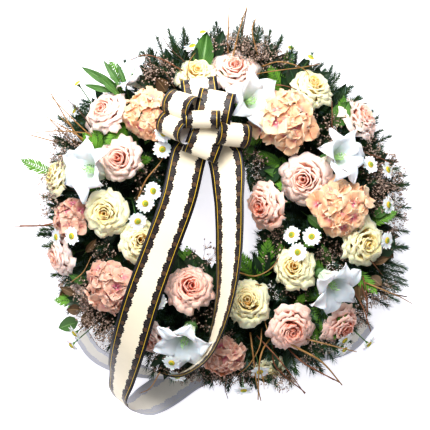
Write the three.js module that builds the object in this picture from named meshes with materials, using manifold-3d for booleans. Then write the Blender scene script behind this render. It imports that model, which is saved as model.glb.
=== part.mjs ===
// Memorial wreath: a half-round foam ring with a flat back, dressed with fir, roses, lilies,
// hydrangeas, daisy sprays, leaves and dry twigs, and a lace-edged ribbon bow with two long tails.
// It lies on its flat back. Millimetres, +Z up out of the wreath's face, +Y towards the bow.
import * as THREE from "three";
import { mergeVertices } from "three/addons/utils/BufferGeometryUtils.js";
import Module from "manifold-3d";

const wasm = await Module();
wasm.setup();

// ---------------------------------------------------------------- driving dimensions
const RING_RADIUS = 170; // from the wreath's axis to the middle of the ring's section
const RING_HALF_WIDTH = 45;
const RING_HEIGHT = 48;
const RING_SIDES = 30;
const RING_ARC = 6; // spans across the ring's rounded front
const CORE_HEIGHT = 26; // level inside the ring that every pick aims at
const PICK_RADIUS = 1.6;
const GAP = 0.4; // clearance between pieces that touch
const CARVE = 1.0; // clearance that soft greenery keeps from a flower
const RIBBON_WIDTH = 58;
const RIBBON_THICKNESS = 0.8;

const COLOURS = {
  foam: 0x3c5a34,
  fir: 0x22402a,
  pink: 0xf2b7a8,
  cream: 0xf6ecc4,
  white: 0xf4f5f2,
  peach: 0xf3b58e,
  ribbon: 0xf3ead2,
  wire: 0x59604f,
  leaf: 0x3f7a34,
  twig: 0x8a5a34,
};

const radians = THREE.MathUtils.degToRad;
const wreath = new THREE.Group();

// ---------------------------------------------------------------- solids and meshes
function solidOf(geometry) {
  const bare = geometry.clone();
  bare.deleteAttribute("normal");
  bare.deleteAttribute("uv");
  const merged = mergeVertices(bare, 1e-3);
  const triVerts = new Uint32Array(merged.index.array);
  const vertProperties = new Float32Array(merged.attributes.position.array);
  const made = new wasm.Manifold(new wasm.Mesh({ numProp: 3, vertProperties, triVerts }));
  if (made.volume() >= 0) return made;
  for (let i = 0; i < triVerts.length; i += 3) {
    [triVerts[i + 1], triVerts[i + 2]] = [triVerts[i + 2], triVerts[i + 1]];
  }
  return new wasm.Manifold(new wasm.Mesh({ numProp: 3, vertProperties, triVerts }));
}

function geometryOf(solid) {
  const mesh = solid.getMesh();
  const vertices = new Float32Array(mesh.numVert * 3);
  for (let i = 0; i < mesh.numVert; i++) {
    vertices.set(mesh.vertProperties.subarray(i * mesh.numProp, i * mesh.numProp + 3), i * 3);
  }
  return new THREE.BufferGeometry()
    .setAttribute("position", new THREE.BufferAttribute(vertices, 3))
    .setIndex(new THREE.BufferAttribute(mesh.triVerts, 1));
}

function biggestBody(solid) {
  const bodies = solid.decompose();
  return bodies.sort((a, b) => b.volume() - a.volume())[0];
}

function boxesMeet(a, b) {
  const p = a.boundingBox();
  const q = b.boundingBox();
  return [0, 1, 2].every((i) => p.min[i] < q.max[i] && q.min[i] < p.max[i]);
}

// Takes from a solid the room that other pieces need, and drops any crumb that is cut loose.
function carved(solid, others) {
  let left = solid;
  for (const other of others) {
    if (boxesMeet(left, other)) left = left.subtract(other);
  }
  return biggestBody(left);
}

function addNode(name, solid, colour) {
  const material = new THREE.MeshStandardMaterial({ color: colour, roughness: 0.8, metalness: 0 });
  const mesh = new THREE.Mesh(geometryOf(solid), material);
  mesh.name = name;
  wreath.add(mesh);
}

// ---------------------------------------------------------------- shapes
// A turned shape about +Z. The profile is [radius, height] pairs, and starts and ends on the axis.
// A clearance envelope is drawn with few sides, and wide enough to hold the finer shape.
const ENVELOPE_SIDES = 6;
function envelope(profile) {
  const widen = 1 / Math.cos(Math.PI / ENVELOPE_SIDES);
  return turned(profile.map(([radius, height]) => [radius * widen, height]), ENVELOPE_SIDES);
}

function turned(profile, sides) {
  const points = profile.map(([radius, height]) => new THREE.Vector2(radius, height));
  return new THREE.LatheGeometry(points, sides).rotateX(Math.PI / 2);
}

// A round stem along a smooth curve.
function stemAlong(points, radius, sides, steps) {
  const section = new THREE.Shape();
  for (let i = 0; i < sides; i++) {
    const a = (2 * Math.PI * i) / sides;
    section[i ? "lineTo" : "moveTo"](radius * Math.cos(a), radius * Math.sin(a));
  }
  section.closePath();
  const extrudePath = new THREE.CatmullRomCurve3(points);
  return new THREE.ExtrudeGeometry(section, { steps, bevelEnabled: false, extrudePath });
}

// A strip whose flat section (across, thick) follows a row of stations, open or closed on itself.
function strip(stations, thickness, closed) {
  const count = stations.length;
  const vertices = [];
  for (let i = 0; i < count; i++) {
    const { at, across, half } = stations[i];
    const atEnd = !closed && i === count - 1;
    const from = stations[atEnd ? i - 1 : i].at;
    const to = stations[atEnd ? i : (i + 1) % count].at;
    const along = to.clone().sub(from);
    const normal = across.clone().cross(along).normalize().multiplyScalar(thickness / 2);
    const side = across.clone().normalize().multiplyScalar(half);
    for (const [s, n] of [[-1, -1], [1, -1], [1, 1], [-1, 1]]) {
      vertices.push(...at.clone().addScaledVector(side, s).addScaledVector(normal, n).toArray());
    }
  }
  const faces = [];
  const spans = closed ? count : count - 1;
  for (let i = 0; i < spans; i++) {
    const a = 4 * i;
    const b = 4 * ((i + 1) % count);
    for (let j = 0; j < 4; j++) {
      const k = (j + 1) % 4;
      faces.push(a + j, a + k, b + k, a + j, b + k, b + j);
    }
  }
  if (!closed) {
    const e = 4 * (count - 1);
    faces.push(0, 2, 1, 0, 3, 2, e, e + 1, e + 2, e, e + 2, e + 3);
  }
  return new THREE.BufferGeometry()
    .setAttribute("position", new THREE.BufferAttribute(new Float32Array(vertices), 3))
    .setIndex(faces);
}

// ---------------------------------------------------------------- places on the wreath
// A point at a clock angle (degrees from +X towards +Y), a reach from the axis, and a height.
function place(clock, reach, height) {
  const a = radians(clock);
  return new THREE.Vector3(reach * Math.cos(a), reach * Math.sin(a), height);
}

// Every pick starts in the ring's core and points at its head. Returns the head's frame.
function headFrame({ clock, reach, stem, turn = 0, shift = 0 }) {
  const rise = Math.sqrt(stem ** 2 - (reach - RING_RADIUS) ** 2);
  const head = place(clock, reach, CORE_HEIGHT + rise);
  const root = place(clock + shift, RING_RADIUS, CORE_HEIGHT);
  const axis = head.clone().sub(root);
  const length = axis.length();
  const turnTo = new THREE.Quaternion().setFromUnitVectors(
    new THREE.Vector3(0, 0, 1),
    axis.normalize(),
  );
  turnTo.multiply(new THREE.Quaternion().setFromAxisAngle(new THREE.Vector3(0, 0, 1), radians(turn)));
  const matrix = new THREE.Matrix4().compose(head, turnTo, new THREE.Vector3(1, 1, 1));
  return { matrix, length, head, root, axis };
}

// ---------------------------------------------------------------- flower heads
// A rose on its pick: calyx, cupped outer petals with a rolled lip, and two inner whorls.
function rose(size, stem, grow = 0) {
  const r = (share) => share * size + grow;
  const profile = [
    [0, -stem - grow],
    [PICK_RADIUS + grow, -stem - grow],
    [PICK_RADIUS + grow, -0.86 * size],
    [r(0.86), -0.24 * size],
    [r(1.0), 0.3 * size + grow],
    [r(0.84), 0.46 * size + grow],
  ];
  if (grow) return envelope([...profile, [0, 0.56 * size + grow]]);
  const whorls = [[0.5, 0.3], [0.3, 0.56], [0, 0.5]];
  return turned([...profile, ...whorls.map(([radius, height]) => [radius * size, height * size])], 8);
}

// A lily on its pick: a narrow throat that flares to six pointed petals.
function lily(size, stem, grow = 0) {
  const profile = [
    [0, -stem - grow],
    [PICK_RADIUS + grow, -stem - grow],
    [PICK_RADIUS + grow, -1.1 * size],
    [0.12 * size + grow, -1.0 * size],
    [0.2 * size + grow, -0.55 * size],
    [0.45 * size + grow, -0.18 * size - grow],
    [1.0 * size + grow, 0.02 * size - grow],
    [1.0 * size + grow, 0.07 * size + grow],
  ];
  if (grow) return envelope([...profile, [0, 0.07 * size + grow]]);
  const inside = [[0.43, -0.1], [0.16, -0.5], [0, -0.7]];
  const shape = turned(
    [...profile, ...inside.map(([radius, height]) => [radius * size, height * size])],
    12,
  );
  const p = shape.attributes.position;
  for (let i = 0; i < p.count; i++) {
    const radius = Math.hypot(p.getX(i), p.getY(i));
    const flare = THREE.MathUtils.smoothstep(radius, 0.2 * size, size);
    const valley = (1 - Math.cos(6 * Math.atan2(p.getY(i), p.getX(i)))) / 2;
    const pull = 1 - 0.42 * flare * valley;
    p.setXYZ(i, p.getX(i) * pull, p.getY(i) * pull, p.getZ(i) - 0.12 * size * flare * valley);
  }
  return shape;
}

// A hydrangea on its pick: a low dome of florets, drawn as lobes.
function hydrangea(size, stem, grow = 0) {
  const dome = [[0.3, -0.62], [0.8, -0.5], [1.0, -0.12], [0.92, 0.28], [0.56, 0.58], [0, 0.66]];
  const profile = [
    [0, -stem - grow],
    [PICK_RADIUS + grow, -stem - grow],
    [PICK_RADIUS + grow, -0.7 * size],
    ...dome.map(([radius, height]) => [
      radius * size + (radius ? grow : 0),
      height * size + grow * Math.sign(height + 0.3),
    ]),
  ];
  if (grow) return envelope(profile);
  const shape = turned(profile, 10);
  const p = shape.attributes.position;
  for (let i = 0; i < p.count; i++) {
    if (p.getZ(i) < -0.65 * size) continue;
    const a = Math.atan2(p.getY(i), p.getX(i));
    const lobe = 0.93 - 0.07 * Math.cos(5 * a + p.getZ(i) / 6);
    p.setXYZ(i, p.getX(i) * lobe, p.getY(i) * lobe, p.getZ(i));
  }
  return shape;
}

// A daisy head: a flat disc of ray petals, a domed eye and a small calyx behind.
function daisy(size, grow = 0) {
  const r = (share) => share * size + grow;
  const low = [[0, -0.5 * size], [r(1), -0.06 * size - grow]];
  const top = [[r(0.94), 0.1 * size + grow], [0, 0.34 * size + grow]];
  return grow ? envelope([...low, ...top]) : turned([...low, ...top], 8);
}

// ---------------------------------------------------------------- layout: where each flower sits
// clock: degrees from +X; reach: from the wreath's axis; stem: from the ring's core to the head.
const pinkRoses = [
  { clock: 140, reach: 250, stem: 112, size: 33 },
  { clock: 153.5, reach: 187, stem: 108, size: 30 },
  { clock: 86, reach: 228, stem: 100, size: 34 },
  { clock: 34.5, reach: 264, stem: 112, size: 32 },
  { clock: 22, reach: 139, stem: 110, size: 35 },
  { clock: 7, reach: 63.5, stem: 152, size: 32, shift: 3 },
  { clock: 195, reach: 276, stem: 118, size: 29 },
  { clock: 245, reach: 134, stem: 106, size: 33, shift: 3 },
  { clock: 239, reach: 236, stem: 96, size: 29 },
  { clock: 300, reach: 214, stem: 108, size: 31 },
  { clock: 315.5, reach: 262, stem: 112, size: 30, shift: -2 },
  { clock: 211, reach: 274, stem: 112, size: 25, shift: -3 },
];
const creamRoses = [
  { clock: 168, reach: 277, stem: 116, size: 28, shift: 2 },
  { clock: 180.5, reach: 190, stem: 108, size: 30 },
  { clock: 199, reach: 142, stem: 104, size: 28 },
  { clock: 101.5, reach: 226, stem: 98, size: 29 },
  { clock: 55, reach: 244, stem: 106, size: 31 },
  { clock: 321, reach: 142, stem: 108, size: 29 },
  { clock: 284, reach: 150, stem: 108, size: 30 },
  { clock: 347.5, reach: 226, stem: 108, size: 33 },
  { clock: 286, reach: 266, stem: 104, size: 25 },
];
const lilies = [
  { clock: 163, reach: 228, stem: 134, size: 46, turn: 12, shift: -4 },
  { clock: 80, reach: 178, stem: 128, size: 46, turn: 40, shift: -3 },
  { clock: 25.5, reach: 202, stem: 134, size: 47, turn: 20, shift: 5 },
  { clock: 252, reach: 194, stem: 130, size: 47, turn: 0, shift: 5 },
  { clock: 325.5, reach: 212, stem: 134, size: 46, turn: 50, shift: 4 },
  { clock: 124, reach: 268, stem: 122, size: 38, turn: 10, shift: -5 },
];
const hydrangeas = [
  { clock: 128, reach: 198, stem: 108, size: 40 },
  { clock: 56, reach: 172, stem: 116, size: 47 },
  { clock: 182.5, reach: 250, stem: 108, size: 34, shift: 3 },
  { clock: 213, reach: 222, stem: 108, size: 41, shift: 3 },
  { clock: 3, reach: 184, stem: 114, size: 46 },
  { clock: 270, reach: 232, stem: 104, size: 36 },
];
const daisySprays = [
  { root: 131, lean: -8, heads: [[128, 158, 128], [135, 141, 120]] },
  { root: 172, lean: -20, heads: [[164, 120, 118], [174, 128, 124], [186, 140, 118]] },
  { root: 190, lean: 45, heads: [[189, 247, 128], [188.5, 274, 122]] },
  { root: 338, lean: -20, heads: [[341, 113, 118], [344, 143, 124], [331, 132, 128]] },
  { root: 96, lean: 60, heads: [[97, 292, 132], [101, 272, 118]] },
  { root: 146, lean: 62, heads: [[139, 316, 152], [146, 292, 130]] },
  { root: 64, lean: 55, heads: [[61, 283, 136], [68, 284, 130]] },
  { root: 13, lean: 45, heads: [[18, 244, 118], [14.5, 270, 122]] },
];
const DAISY_SIZE = 16.5;

// ---------------------------------------------------------------- ribbon bow and tails
const BOW = { clock: 103.2, reach: 152, height: 165 };
const bowCentre = place(BOW.clock, BOW.reach, BOW.height);
const NECK_RADIUS = 6;

// One ribbon loop: a teardrop that leaves the bow's middle, turns over, and comes back.
function bowLoop({ heading, lift, length, tall }, grow = 0) {
  const out = new THREE.Vector3(Math.cos(radians(heading)), Math.sin(radians(heading)), 0);
  const across = new THREE.Vector3(0, 0, 1).cross(out);
  const up = out.clone().multiplyScalar(-Math.sin(radians(lift)));
  up.z = Math.cos(radians(lift));
  const forward = out.multiplyScalar(Math.cos(radians(lift)));
  forward.z = Math.sin(radians(lift));
  const steps = 10;
  const stations = [];
  for (let i = 0; i < steps; i++) {
    const t = (2 * Math.PI * (i + 0.5)) / steps;
    const run = (length / 2) * (1 - Math.cos(t)) + 7;
    const height = (tall / 2) * Math.sin(t) * (0.35 + 0.65 * (1 - Math.cos(t)) / 2);
    const at = bowCentre.clone().addScaledVector(forward, run).addScaledVector(up, -height);
    const spread = THREE.MathUtils.smoothstep(run, 0, 0.5 * length);
    stations.push({ at, across, half: THREE.MathUtils.lerp(12, RIBBON_WIDTH / 2, spread) + grow });
  }
  return strip(stations, RIBBON_THICKNESS + 2 * grow, true);
}

const bowLoops = [
  { heading: 98, lift: 8, length: 64, tall: 30 },
  { heading: 52, lift: 24, length: 56, tall: 30 },
  { heading: 150, lift: 26, length: 58, tall: 30 },
  { heading: 190, lift: 8, length: 64, tall: 30 },
  { heading: 312, lift: 10, length: 58, tall: 30 },
  { heading: 264, lift: 20, length: 66, tall: 30 },
  { heading: 98, lift: 78, length: 42, tall: 28 },
];
const hub = turned([[0, -12], [NECK_RADIUS, -12], [NECK_RADIUS, -6], [13, -3], [12, 6], [0, 10]], 8)
  .translate(bowCentre.x, bowCentre.y, bowCentre.z);

function bowSolid(grow = 0) {
  const loops = bowLoops.map((loop) => solidOf(bowLoop(loop, grow)));
  return loops.reduce((all, one) => all.add(one), solidOf(hub));
}

// Tails: middle line and roll. roll 0 shows the printed face upwards, 180 shows the plain back.
const FULL = RIBBON_WIDTH / 2;
const leftRun = [
  { at: [-38, 132, 144], roll: 0, half: 8 },
  { at: [-57, 92, 153], roll: -6, half: FULL },
  { at: [-74, 19, 168], roll: -16, half: FULL },
  { at: [-103, -61, 172], roll: -18, half: FULL },
  { at: [-132, -141, 167], roll: -8, half: FULL },
  { at: [-154, -214, 134], roll: 10, half: FULL },
  { at: [-168, -264, 84], roll: 34, half: FULL },
  { at: [-174, -298, 44], roll: 62, half: FULL },
  { at: [-158, -318, 31], roll: 96, half: FULL },
  { at: [-130, -312, 20], roll: 146, half: FULL },
  { at: [-94, -292, 6], roll: 180, half: FULL },
  { at: [-54, -265, 8], roll: 188, half: FULL },
  { at: [-2, -244, 14], roll: 200, half: FULL },
  { at: [54, -234, 22], roll: 222, half: FULL },
  { at: [108, -230, 23], roll: 225, half: FULL },
  { at: [158, -226, 23], roll: 225, half: FULL },
  { at: [202, -212, 23], roll: 225, half: FULL },
  { at: [231, -178, 23], roll: 225, half: FULL },
];
const rightRun = [
  { at: [-26, 131, 146], roll: 0, half: 8 },
  { at: [0, 87, 157], roll: 12, half: FULL },
  { at: [6, 19, 173], roll: 37, half: FULL },
  { at: [6, -60, 177], roll: 44, half: FULL },
  { at: [-1, -136, 175], roll: 60, half: FULL },
  { at: [-22, -208, 156], roll: 73, half: FULL },
  { at: [-52, -247, 108], roll: 86, half: FULL },
  { at: [-84, -262, 66], roll: 100, half: FULL },
  { at: [-124, -262, 42], roll: 114, half: FULL },
  { at: [-172, -252, 38], roll: 120, half: FULL },
  { at: [-212, -232, 32], roll: 120, half: FULL },
  { at: [-238, -196, 28], roll: 120, half: FULL },
];

// Lays stations along a smooth curve, each with its own roll about the run.
function runStations(rows, steps, grow = 0) {
  const line = new THREE.CatmullRomCurve3(rows.map(({ at }) => new THREE.Vector3(...at)));
  const stations = [];
  for (let i = 0; i <= steps; i++) {
    const t = i / steps;
    const k = Math.min(Math.floor(t * (rows.length - 1)), rows.length - 2);
    const part = t * (rows.length - 1) - k;
    const roll = radians(THREE.MathUtils.lerp(rows[k].roll, rows[k + 1].roll, part));
    const half = THREE.MathUtils.lerp(rows[k].half, rows[k + 1].half, part) + grow;
    const along = line.getTangent(t);
    const flat = new THREE.Vector3(0, 0, 1).cross(along).normalize();
    stations.push({ at: line.getPoint(t), across: flat.applyAxisAngle(along, roll), half });
  }
  return stations;
}

function leftTailStations(grow = 0) {
  return runStations(leftRun, 50, grow);
}

function rightTailStations(grow = 0) {
  return runStations(rightRun, 38, grow);
}

// ---------------------------------------------------------------- leaves and twigs
// A stemmed sprig of long leaves. Each leaf is [clock, reach, height] of its base and of its tip.
const leafSprigs = [
  {
    root: 134,
    lean: 62,
    leaves: [
      { base: [134, 258, 92], tip: [135.5, 326, 88], half: 9 },
      { base: [135.5, 250, 88], tip: [139, 300, 70], half: 8 },
    ],
  },
  { root: 97, lean: 56, leaves: [{ base: [98, 232, 70], tip: [96, 276, 108], half: 17 }] },
];
// Dry twigs in bunches: each twig is [clock, reach, height] of its middle and of its tip.
// lean is how far the bunch's pick tips outwards, in degrees.
const twigBunches = [
  { root: 87, lean: 66, twigs: [[[89, 262, 92], [88.8, 331, 84]], [[85, 268, 84], [83.8, 332, 96]],
    [[82, 262, 70], [80, 306, 62]]] },
  { root: 154, lean: 64, twigs: [[[153, 262, 104], [145.8, 338, 104]], [[155, 268, 84], [152.2, 320, 76]],
    [[157, 280, 70], [158.4, 339, 58]]] },
  { root: 186, lean: 78, twigs: [[[184.5, 286, 52], [183.8, 335, 50]]] },
  { root: 331, lean: 72, twigs: [[[332, 268, 60], [335, 327, 56]], [[326, 262, 60], [321.5, 296, 30]]] },
  { root: 293, lean: 58, twigs: [[[297, 268, 110], [304, 332, 92]], [[288, 258, 96], [294, 322, 60]],
    [[284, 236, 128], [280, 308, 84]]] },
];
const TWIG_RADIUS = 1.2;
const PICK_RUN = 52; // from the ring's core to the end of a wired pick

function joined(geometries) {
  return geometries.map(solidOf).reduce((all, one) => all.add(one));
}

function leafBlade({ base, tip, half }, grow = 0) {
  const from = place(...base);
  const to = place(...tip);
  const across = new THREE.Vector3(0, 0, 1).cross(to.clone().sub(from)).normalize();
  const widths = [0.16, 0.72, 1, 0.66, 0.1];
  const stations = widths.map((share, i) => {
    const t = i / (widths.length - 1);
    const at = from.clone().lerp(to, t);
    at.z += 14 * t * (1 - t);
    return { at, across, half: share * half + grow };
  });
  return strip(stations, 1.4 + 2 * grow, false);
}

// The straight pick that a spray, a leaf sprig or a twig bunch is wired to.
function pickEnds({ root, lean }) {
  const foot = place(root, RING_RADIUS, CORE_HEIGHT);
  return [foot, place(root, RING_RADIUS + PICK_RUN * Math.sin(radians(lean)),
    CORE_HEIGHT + PICK_RUN * Math.cos(radians(lean)))];
}

function leafSprig({ root, lean, leaves }, grow = 0) {
  const [foot, neck] = pickEnds({ root, lean });
  const parts = [stemAlong([foot, neck], PICK_RADIUS + grow, 4, 1)];
  for (const leaf of leaves) {
    const base = place(...leaf.base);
    const inLeaf = base.clone().lerp(place(...leaf.tip), 0.12);
    parts.push(stemAlong([neck.clone().lerp(foot, 0.05), base, inLeaf], TWIG_RADIUS + grow, 4, 3));
    parts.push(leafBlade(leaf, grow));
  }
  return joined(parts);
}

function twigBunch({ root, lean, twigs }, grow = 0) {
  const [foot, neck] = pickEnds({ root, lean });
  const start = neck.clone().lerp(foot, 0.05);
  const pick = stemAlong([foot, neck], PICK_RADIUS + grow, 4, 1);
  const branches = twigs.map(([middle, tip]) => (
    stemAlong([start, place(...middle), place(...tip)], TWIG_RADIUS + grow, 4, 5)
  ));
  return joined([pick, ...branches]);
}

function daisySpray({ root, lean, heads }, grow = 0) {
  const [foot, neck] = pickEnds({ root, lean });
  const start = neck.clone().lerp(foot, 0.05);
  const parts = [stemAlong([foot, neck], PICK_RADIUS + grow, 4, 1)];
  for (const [clock, reach, stem] of heads) {
    const { matrix, head } = headFrame({ clock, reach, stem, shift: root - clock });
    parts.push(daisy(DAISY_SIZE, grow).applyMatrix4(matrix));
    const inHead = start.clone().lerp(head, 0.98);
    parts.push(stemAlong([start, inHead], TWIG_RADIUS + grow, 4, 1));
  }
  return joined(parts);
}

// ---------------------------------------------------------------- the ring
function ringProfile(grow) {
  const profile = [[RING_RADIUS - RING_HALF_WIDTH - grow, 0], [RING_RADIUS + RING_HALF_WIDTH + grow, 0]];
  const arc = RING_ARC;
  for (let i = 0; i <= arc; i++) {
    const a = (Math.PI * i) / arc;
    const across = (RING_HALF_WIDTH + grow) * Math.cos(a);
    profile.push([RING_RADIUS + across, 8 + (RING_HEIGHT - 8 + grow) * Math.sin(a)]);
  }
  profile.push(profile[0]);
  return profile;
}

// Half of the bed's section: the line that follows the ring's front at a distance.
function bedLine(distance, way) {
  const line = [];
  const arc = RING_ARC;
  for (let i = 0; i <= arc; i++) {
    const a = (Math.PI * (way > 0 ? i : arc - i)) / arc;
    const across = (RING_HALF_WIDTH + distance) * Math.cos(a);
    line.push([RING_RADIUS + across, 8 + (RING_HEIGHT - 8 + distance) * Math.sin(a)]);
  }
  return line;
}

// One fir sprig: a spindle that stands for its twig and needles.
function firSprig(foot, tip, thick) {
  const length = foot.distanceTo(tip);
  const profile = [[0, 0], [1, 0.25], [0.85, 0.7], [0, 1]];
  const along = new THREE.Quaternion().setFromUnitVectors(
    new THREE.Vector3(0, 0, 1),
    tip.clone().sub(foot).normalize(),
  );
  return turned(profile.map(([radius, run]) => [radius * thick, run * length]), 5)
    .applyMatrix4(new THREE.Matrix4().compose(foot, along, new THREE.Vector3(1, 1, 1)));
}

// foot and tip are [reach, height]; vary is how far the reach of the tips differs along the row.
const firRows = [
  { count: 4, foot: [218, 22], tip: [284, 24], vary: 14, thick: 14 },
  { count: 4, foot: [202, 48], tip: [276, 76], vary: 12, thick: 14 },
  { count: 1, foot: [176, 53], tip: [196, 104], vary: 10, thick: 12 },
  { count: 3, foot: [131, 41], tip: [84, 62], vary: 10, thick: 11 },
];

function wedge(from, to) {
  const corners = [[from, 1], [from, 420], [(from + to) / 2, 480], [to, 420], [to, 1]];
  const outline = new THREE.Shape();
  corners.forEach(([clock, reach], i) => {
    const { x, y } = place(clock, reach, 0);
    outline[i ? "lineTo" : "moveTo"](x, y);
  });
  return solidOf(new THREE.ExtrudeGeometry(outline, { depth: 300, bevelEnabled: false }));
}

// ---------------------------------------------------------------- assembly
const picks = []; // [root, head] of everything that is pushed into the ring
const flowers = [];

function addFlower(name, make, row, colour) {
  const { matrix, length, head, root } = headFrame(row);
  picks.push([root, head]);
  flowers.push({
    name,
    colour,
    solid: solidOf(make(row.size, length).applyMatrix4(matrix)),
    room: solidOf(make(row.size, length, GAP).applyMatrix4(matrix)),
    carve: solidOf(make(row.size, length, CARVE).applyMatrix4(matrix)),
  });
}
lilies.forEach((row, i) => addFlower(`lily_${i + 1}`, lily, row, COLOURS.white));
pinkRoses.forEach((row, i) => addFlower(`pink_rose_${i + 1}`, rose, row, COLOURS.pink));
creamRoses.forEach((row, i) => addFlower(`cream_rose_${i + 1}`, rose, row, COLOURS.cream));
hydrangeas.forEach((row, i) => addFlower(`hydrangea_${i + 1}`, hydrangea, row, COLOURS.peach));

function addJoined(name, make, row, colour) {
  flowers.push({ name, colour, solid: make(row), room: make(row, GAP), carve: make(row, CARVE) });
  picks.push(pickEnds(row));
}
daisySprays.forEach((row, i) => addJoined(`daisy_spray_${i + 1}`, daisySpray, row, COLOURS.white));
leafSprigs.forEach((row, i) => addJoined(`leaf_sprig_${i + 1}`, leafSprig, row, COLOURS.leaf));
twigBunches.forEach((row, i) => addJoined(`twig_bunch_${i + 1}`, twigBunch, row, COLOURS.twig));

const ribbonNodes = [
  { name: "bow_loops", solid: bowSolid(), carve: bowSolid(GAP) },
  {
    name: "ribbon_tail_left",
    solid: solidOf(strip(leftTailStations(), RIBBON_THICKNESS, false)),
    carve: solidOf(strip(leftTailStations(CARVE), RIBBON_THICKNESS + 2 * CARVE, false)),
  },
  {
    name: "ribbon_tail_right",
    solid: solidOf(strip(rightTailStations(), RIBBON_THICKNESS, false)),
    carve: solidOf(strip(rightTailStations(CARVE), RIBBON_THICKNESS + 2 * CARVE, false)),
  },
];
for (const { name, solid } of ribbonNodes) addNode(name, solid, COLOURS.ribbon);

// The bow's wire: a pick in the ring whose top is wound round the neck of the bow.
const wireFoot = place(BOW.clock, RING_RADIUS, CORE_HEIGHT);
const wireNeck = bowCentre.clone().add(new THREE.Vector3(0, 16, -54));
const wireRing = turned([[7, -2], [9.4, -2], [9.4, 1], [7, 1], [7, -2]], 8)
  .translate(bowCentre.x, bowCentre.y, bowCentre.z - 8);
const wireSide = bowCentre.clone().add(new THREE.Vector3(-4, 7, -9));
const wireStart = wireNeck.clone().lerp(wireFoot, 0.1);
const bowWire = joined([
  wireRing,
  stemAlong([wireFoot, wireNeck], 1.5, 4, 1),
  stemAlong([wireStart, wireSide], 1.2, 4, 1),
]);
addNode("bow_wire", bowWire, COLOURS.wire);

// Where two heads press together, the later one gives way to the earlier.
const taken = [...ribbonNodes.map(({ carve }) => carve), bowWire];
for (const flower of flowers) {
  const free = carved(flower.solid, taken);
  addNode(flower.name, free, flower.colour);
  taken.push(flower.room);
}

// The foam ring, bored for every pick that goes into it.
const ringBlank = solidOf(turned(ringProfile(0), RING_SIDES));
const bores = [...picks, [wireFoot, wireNeck]].map(([root, head]) => (
  solidOf(stemAlong([root, head.clone().sub(root).setLength(60).add(root)], 2.8, 4, 1))
));
addNode("foam_ring", carved(ringBlank, bores), COLOURS.foam);

// ---------------------------------------------------------------- fir
// Six bunches of fir lie on the ring. Each is a bed of short needles with sprigs growing from it.
const FIR_BUNCHES = 6;
const BED_DEPTH = 9;
const BUNCH_GAP = 0.5; // degrees left free at each end of a bunch

const bedSection = [...bedLine(GAP, 1), ...bedLine(BED_DEPTH, -1)];
bedSection.push(bedSection[0]);
const bed = solidOf(turned(bedSection, RING_SIDES));
const rooms = [...flowers.map(({ carve }) => carve), ...taken.slice(0, 4)];

for (let bunch = 0; bunch < FIR_BUNCHES; bunch++) {
  const start = (360 / FIR_BUNCHES) * bunch;
  let fir = bed.intersect(wedge(start + BUNCH_GAP, start + 360 / FIR_BUNCHES - BUNCH_GAP));
  for (const row of firRows) {
    for (let i = 0; i < row.count; i++) {
      const sway = Math.sin(7.3 * i + 3.1 * bunch + row.foot[0]);
      const clock = start + (360 / FIR_BUNCHES) * ((i + 0.5) / row.count) + 2.5 * sway;
      const foot = place(clock, ...row.foot);
      const tip = place(clock + 4 * sway, row.tip[0] + row.vary * sway, row.tip[1] - 8 * sway);
      fir = fir.add(solidOf(firSprig(foot, tip, row.thick)));
    }
  }
  fir = fir.intersect(wedge(start + BUNCH_GAP, start + 360 / FIR_BUNCHES - BUNCH_GAP));
  addNode(`fir_bunch_${bunch + 1}`, carved(fir, rooms), COLOURS.fir);
}

// The origin is below the middle of the whole wreath, in the plane of the ring's flat back.
const bounds = new THREE.Box3().setFromObject(wreath);
const middle = bounds.getCenter(new THREE.Vector3());
for (const mesh of wreath.children) mesh.geometry.translate(-middle.x, -middle.y, -bounds.min.z);
export default wreath;
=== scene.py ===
import functools
import math
import random

import bmesh
import bpy
from mathutils import Matrix, Vector, noise


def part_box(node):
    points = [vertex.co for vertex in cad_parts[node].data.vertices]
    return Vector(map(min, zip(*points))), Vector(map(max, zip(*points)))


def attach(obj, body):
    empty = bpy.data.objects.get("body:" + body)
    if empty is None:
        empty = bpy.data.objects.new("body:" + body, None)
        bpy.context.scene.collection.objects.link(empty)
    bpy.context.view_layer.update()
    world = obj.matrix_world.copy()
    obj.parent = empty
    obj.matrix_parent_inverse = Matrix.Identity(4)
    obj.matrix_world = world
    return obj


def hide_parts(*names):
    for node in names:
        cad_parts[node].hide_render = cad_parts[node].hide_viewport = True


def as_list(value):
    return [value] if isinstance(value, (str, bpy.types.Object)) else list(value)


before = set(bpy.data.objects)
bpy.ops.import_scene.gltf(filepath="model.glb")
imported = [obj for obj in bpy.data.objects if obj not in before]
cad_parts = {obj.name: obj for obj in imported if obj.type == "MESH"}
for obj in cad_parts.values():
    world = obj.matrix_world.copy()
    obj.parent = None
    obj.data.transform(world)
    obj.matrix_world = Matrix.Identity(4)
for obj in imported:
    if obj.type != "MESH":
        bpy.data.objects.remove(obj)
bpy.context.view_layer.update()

# ---- Camera, floor and light. The wreath lies on its flat back on a pale floor. The camera looks
# straight down at it, and a broad lamp beyond the bow throws a soft shadow towards the tails.
MM = 0.001
ring_low, ring_high = (Vector(corner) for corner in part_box("foam_ring"))
AXIS = (ring_low + ring_high) / 2
AXIS.z = 0.0

camera = bpy.data.objects.new("camera", bpy.data.cameras.new("camera"))
camera.data.lens = 188
camera.data.sensor_width = 36
camera.data.clip_end = 50
camera.location = AXIS + Vector((-16, -5, 3710)) * MM  # high above, a little off the axis
bpy.context.collection.objects.link(camera)
bpy.context.scene.camera = camera

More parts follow.
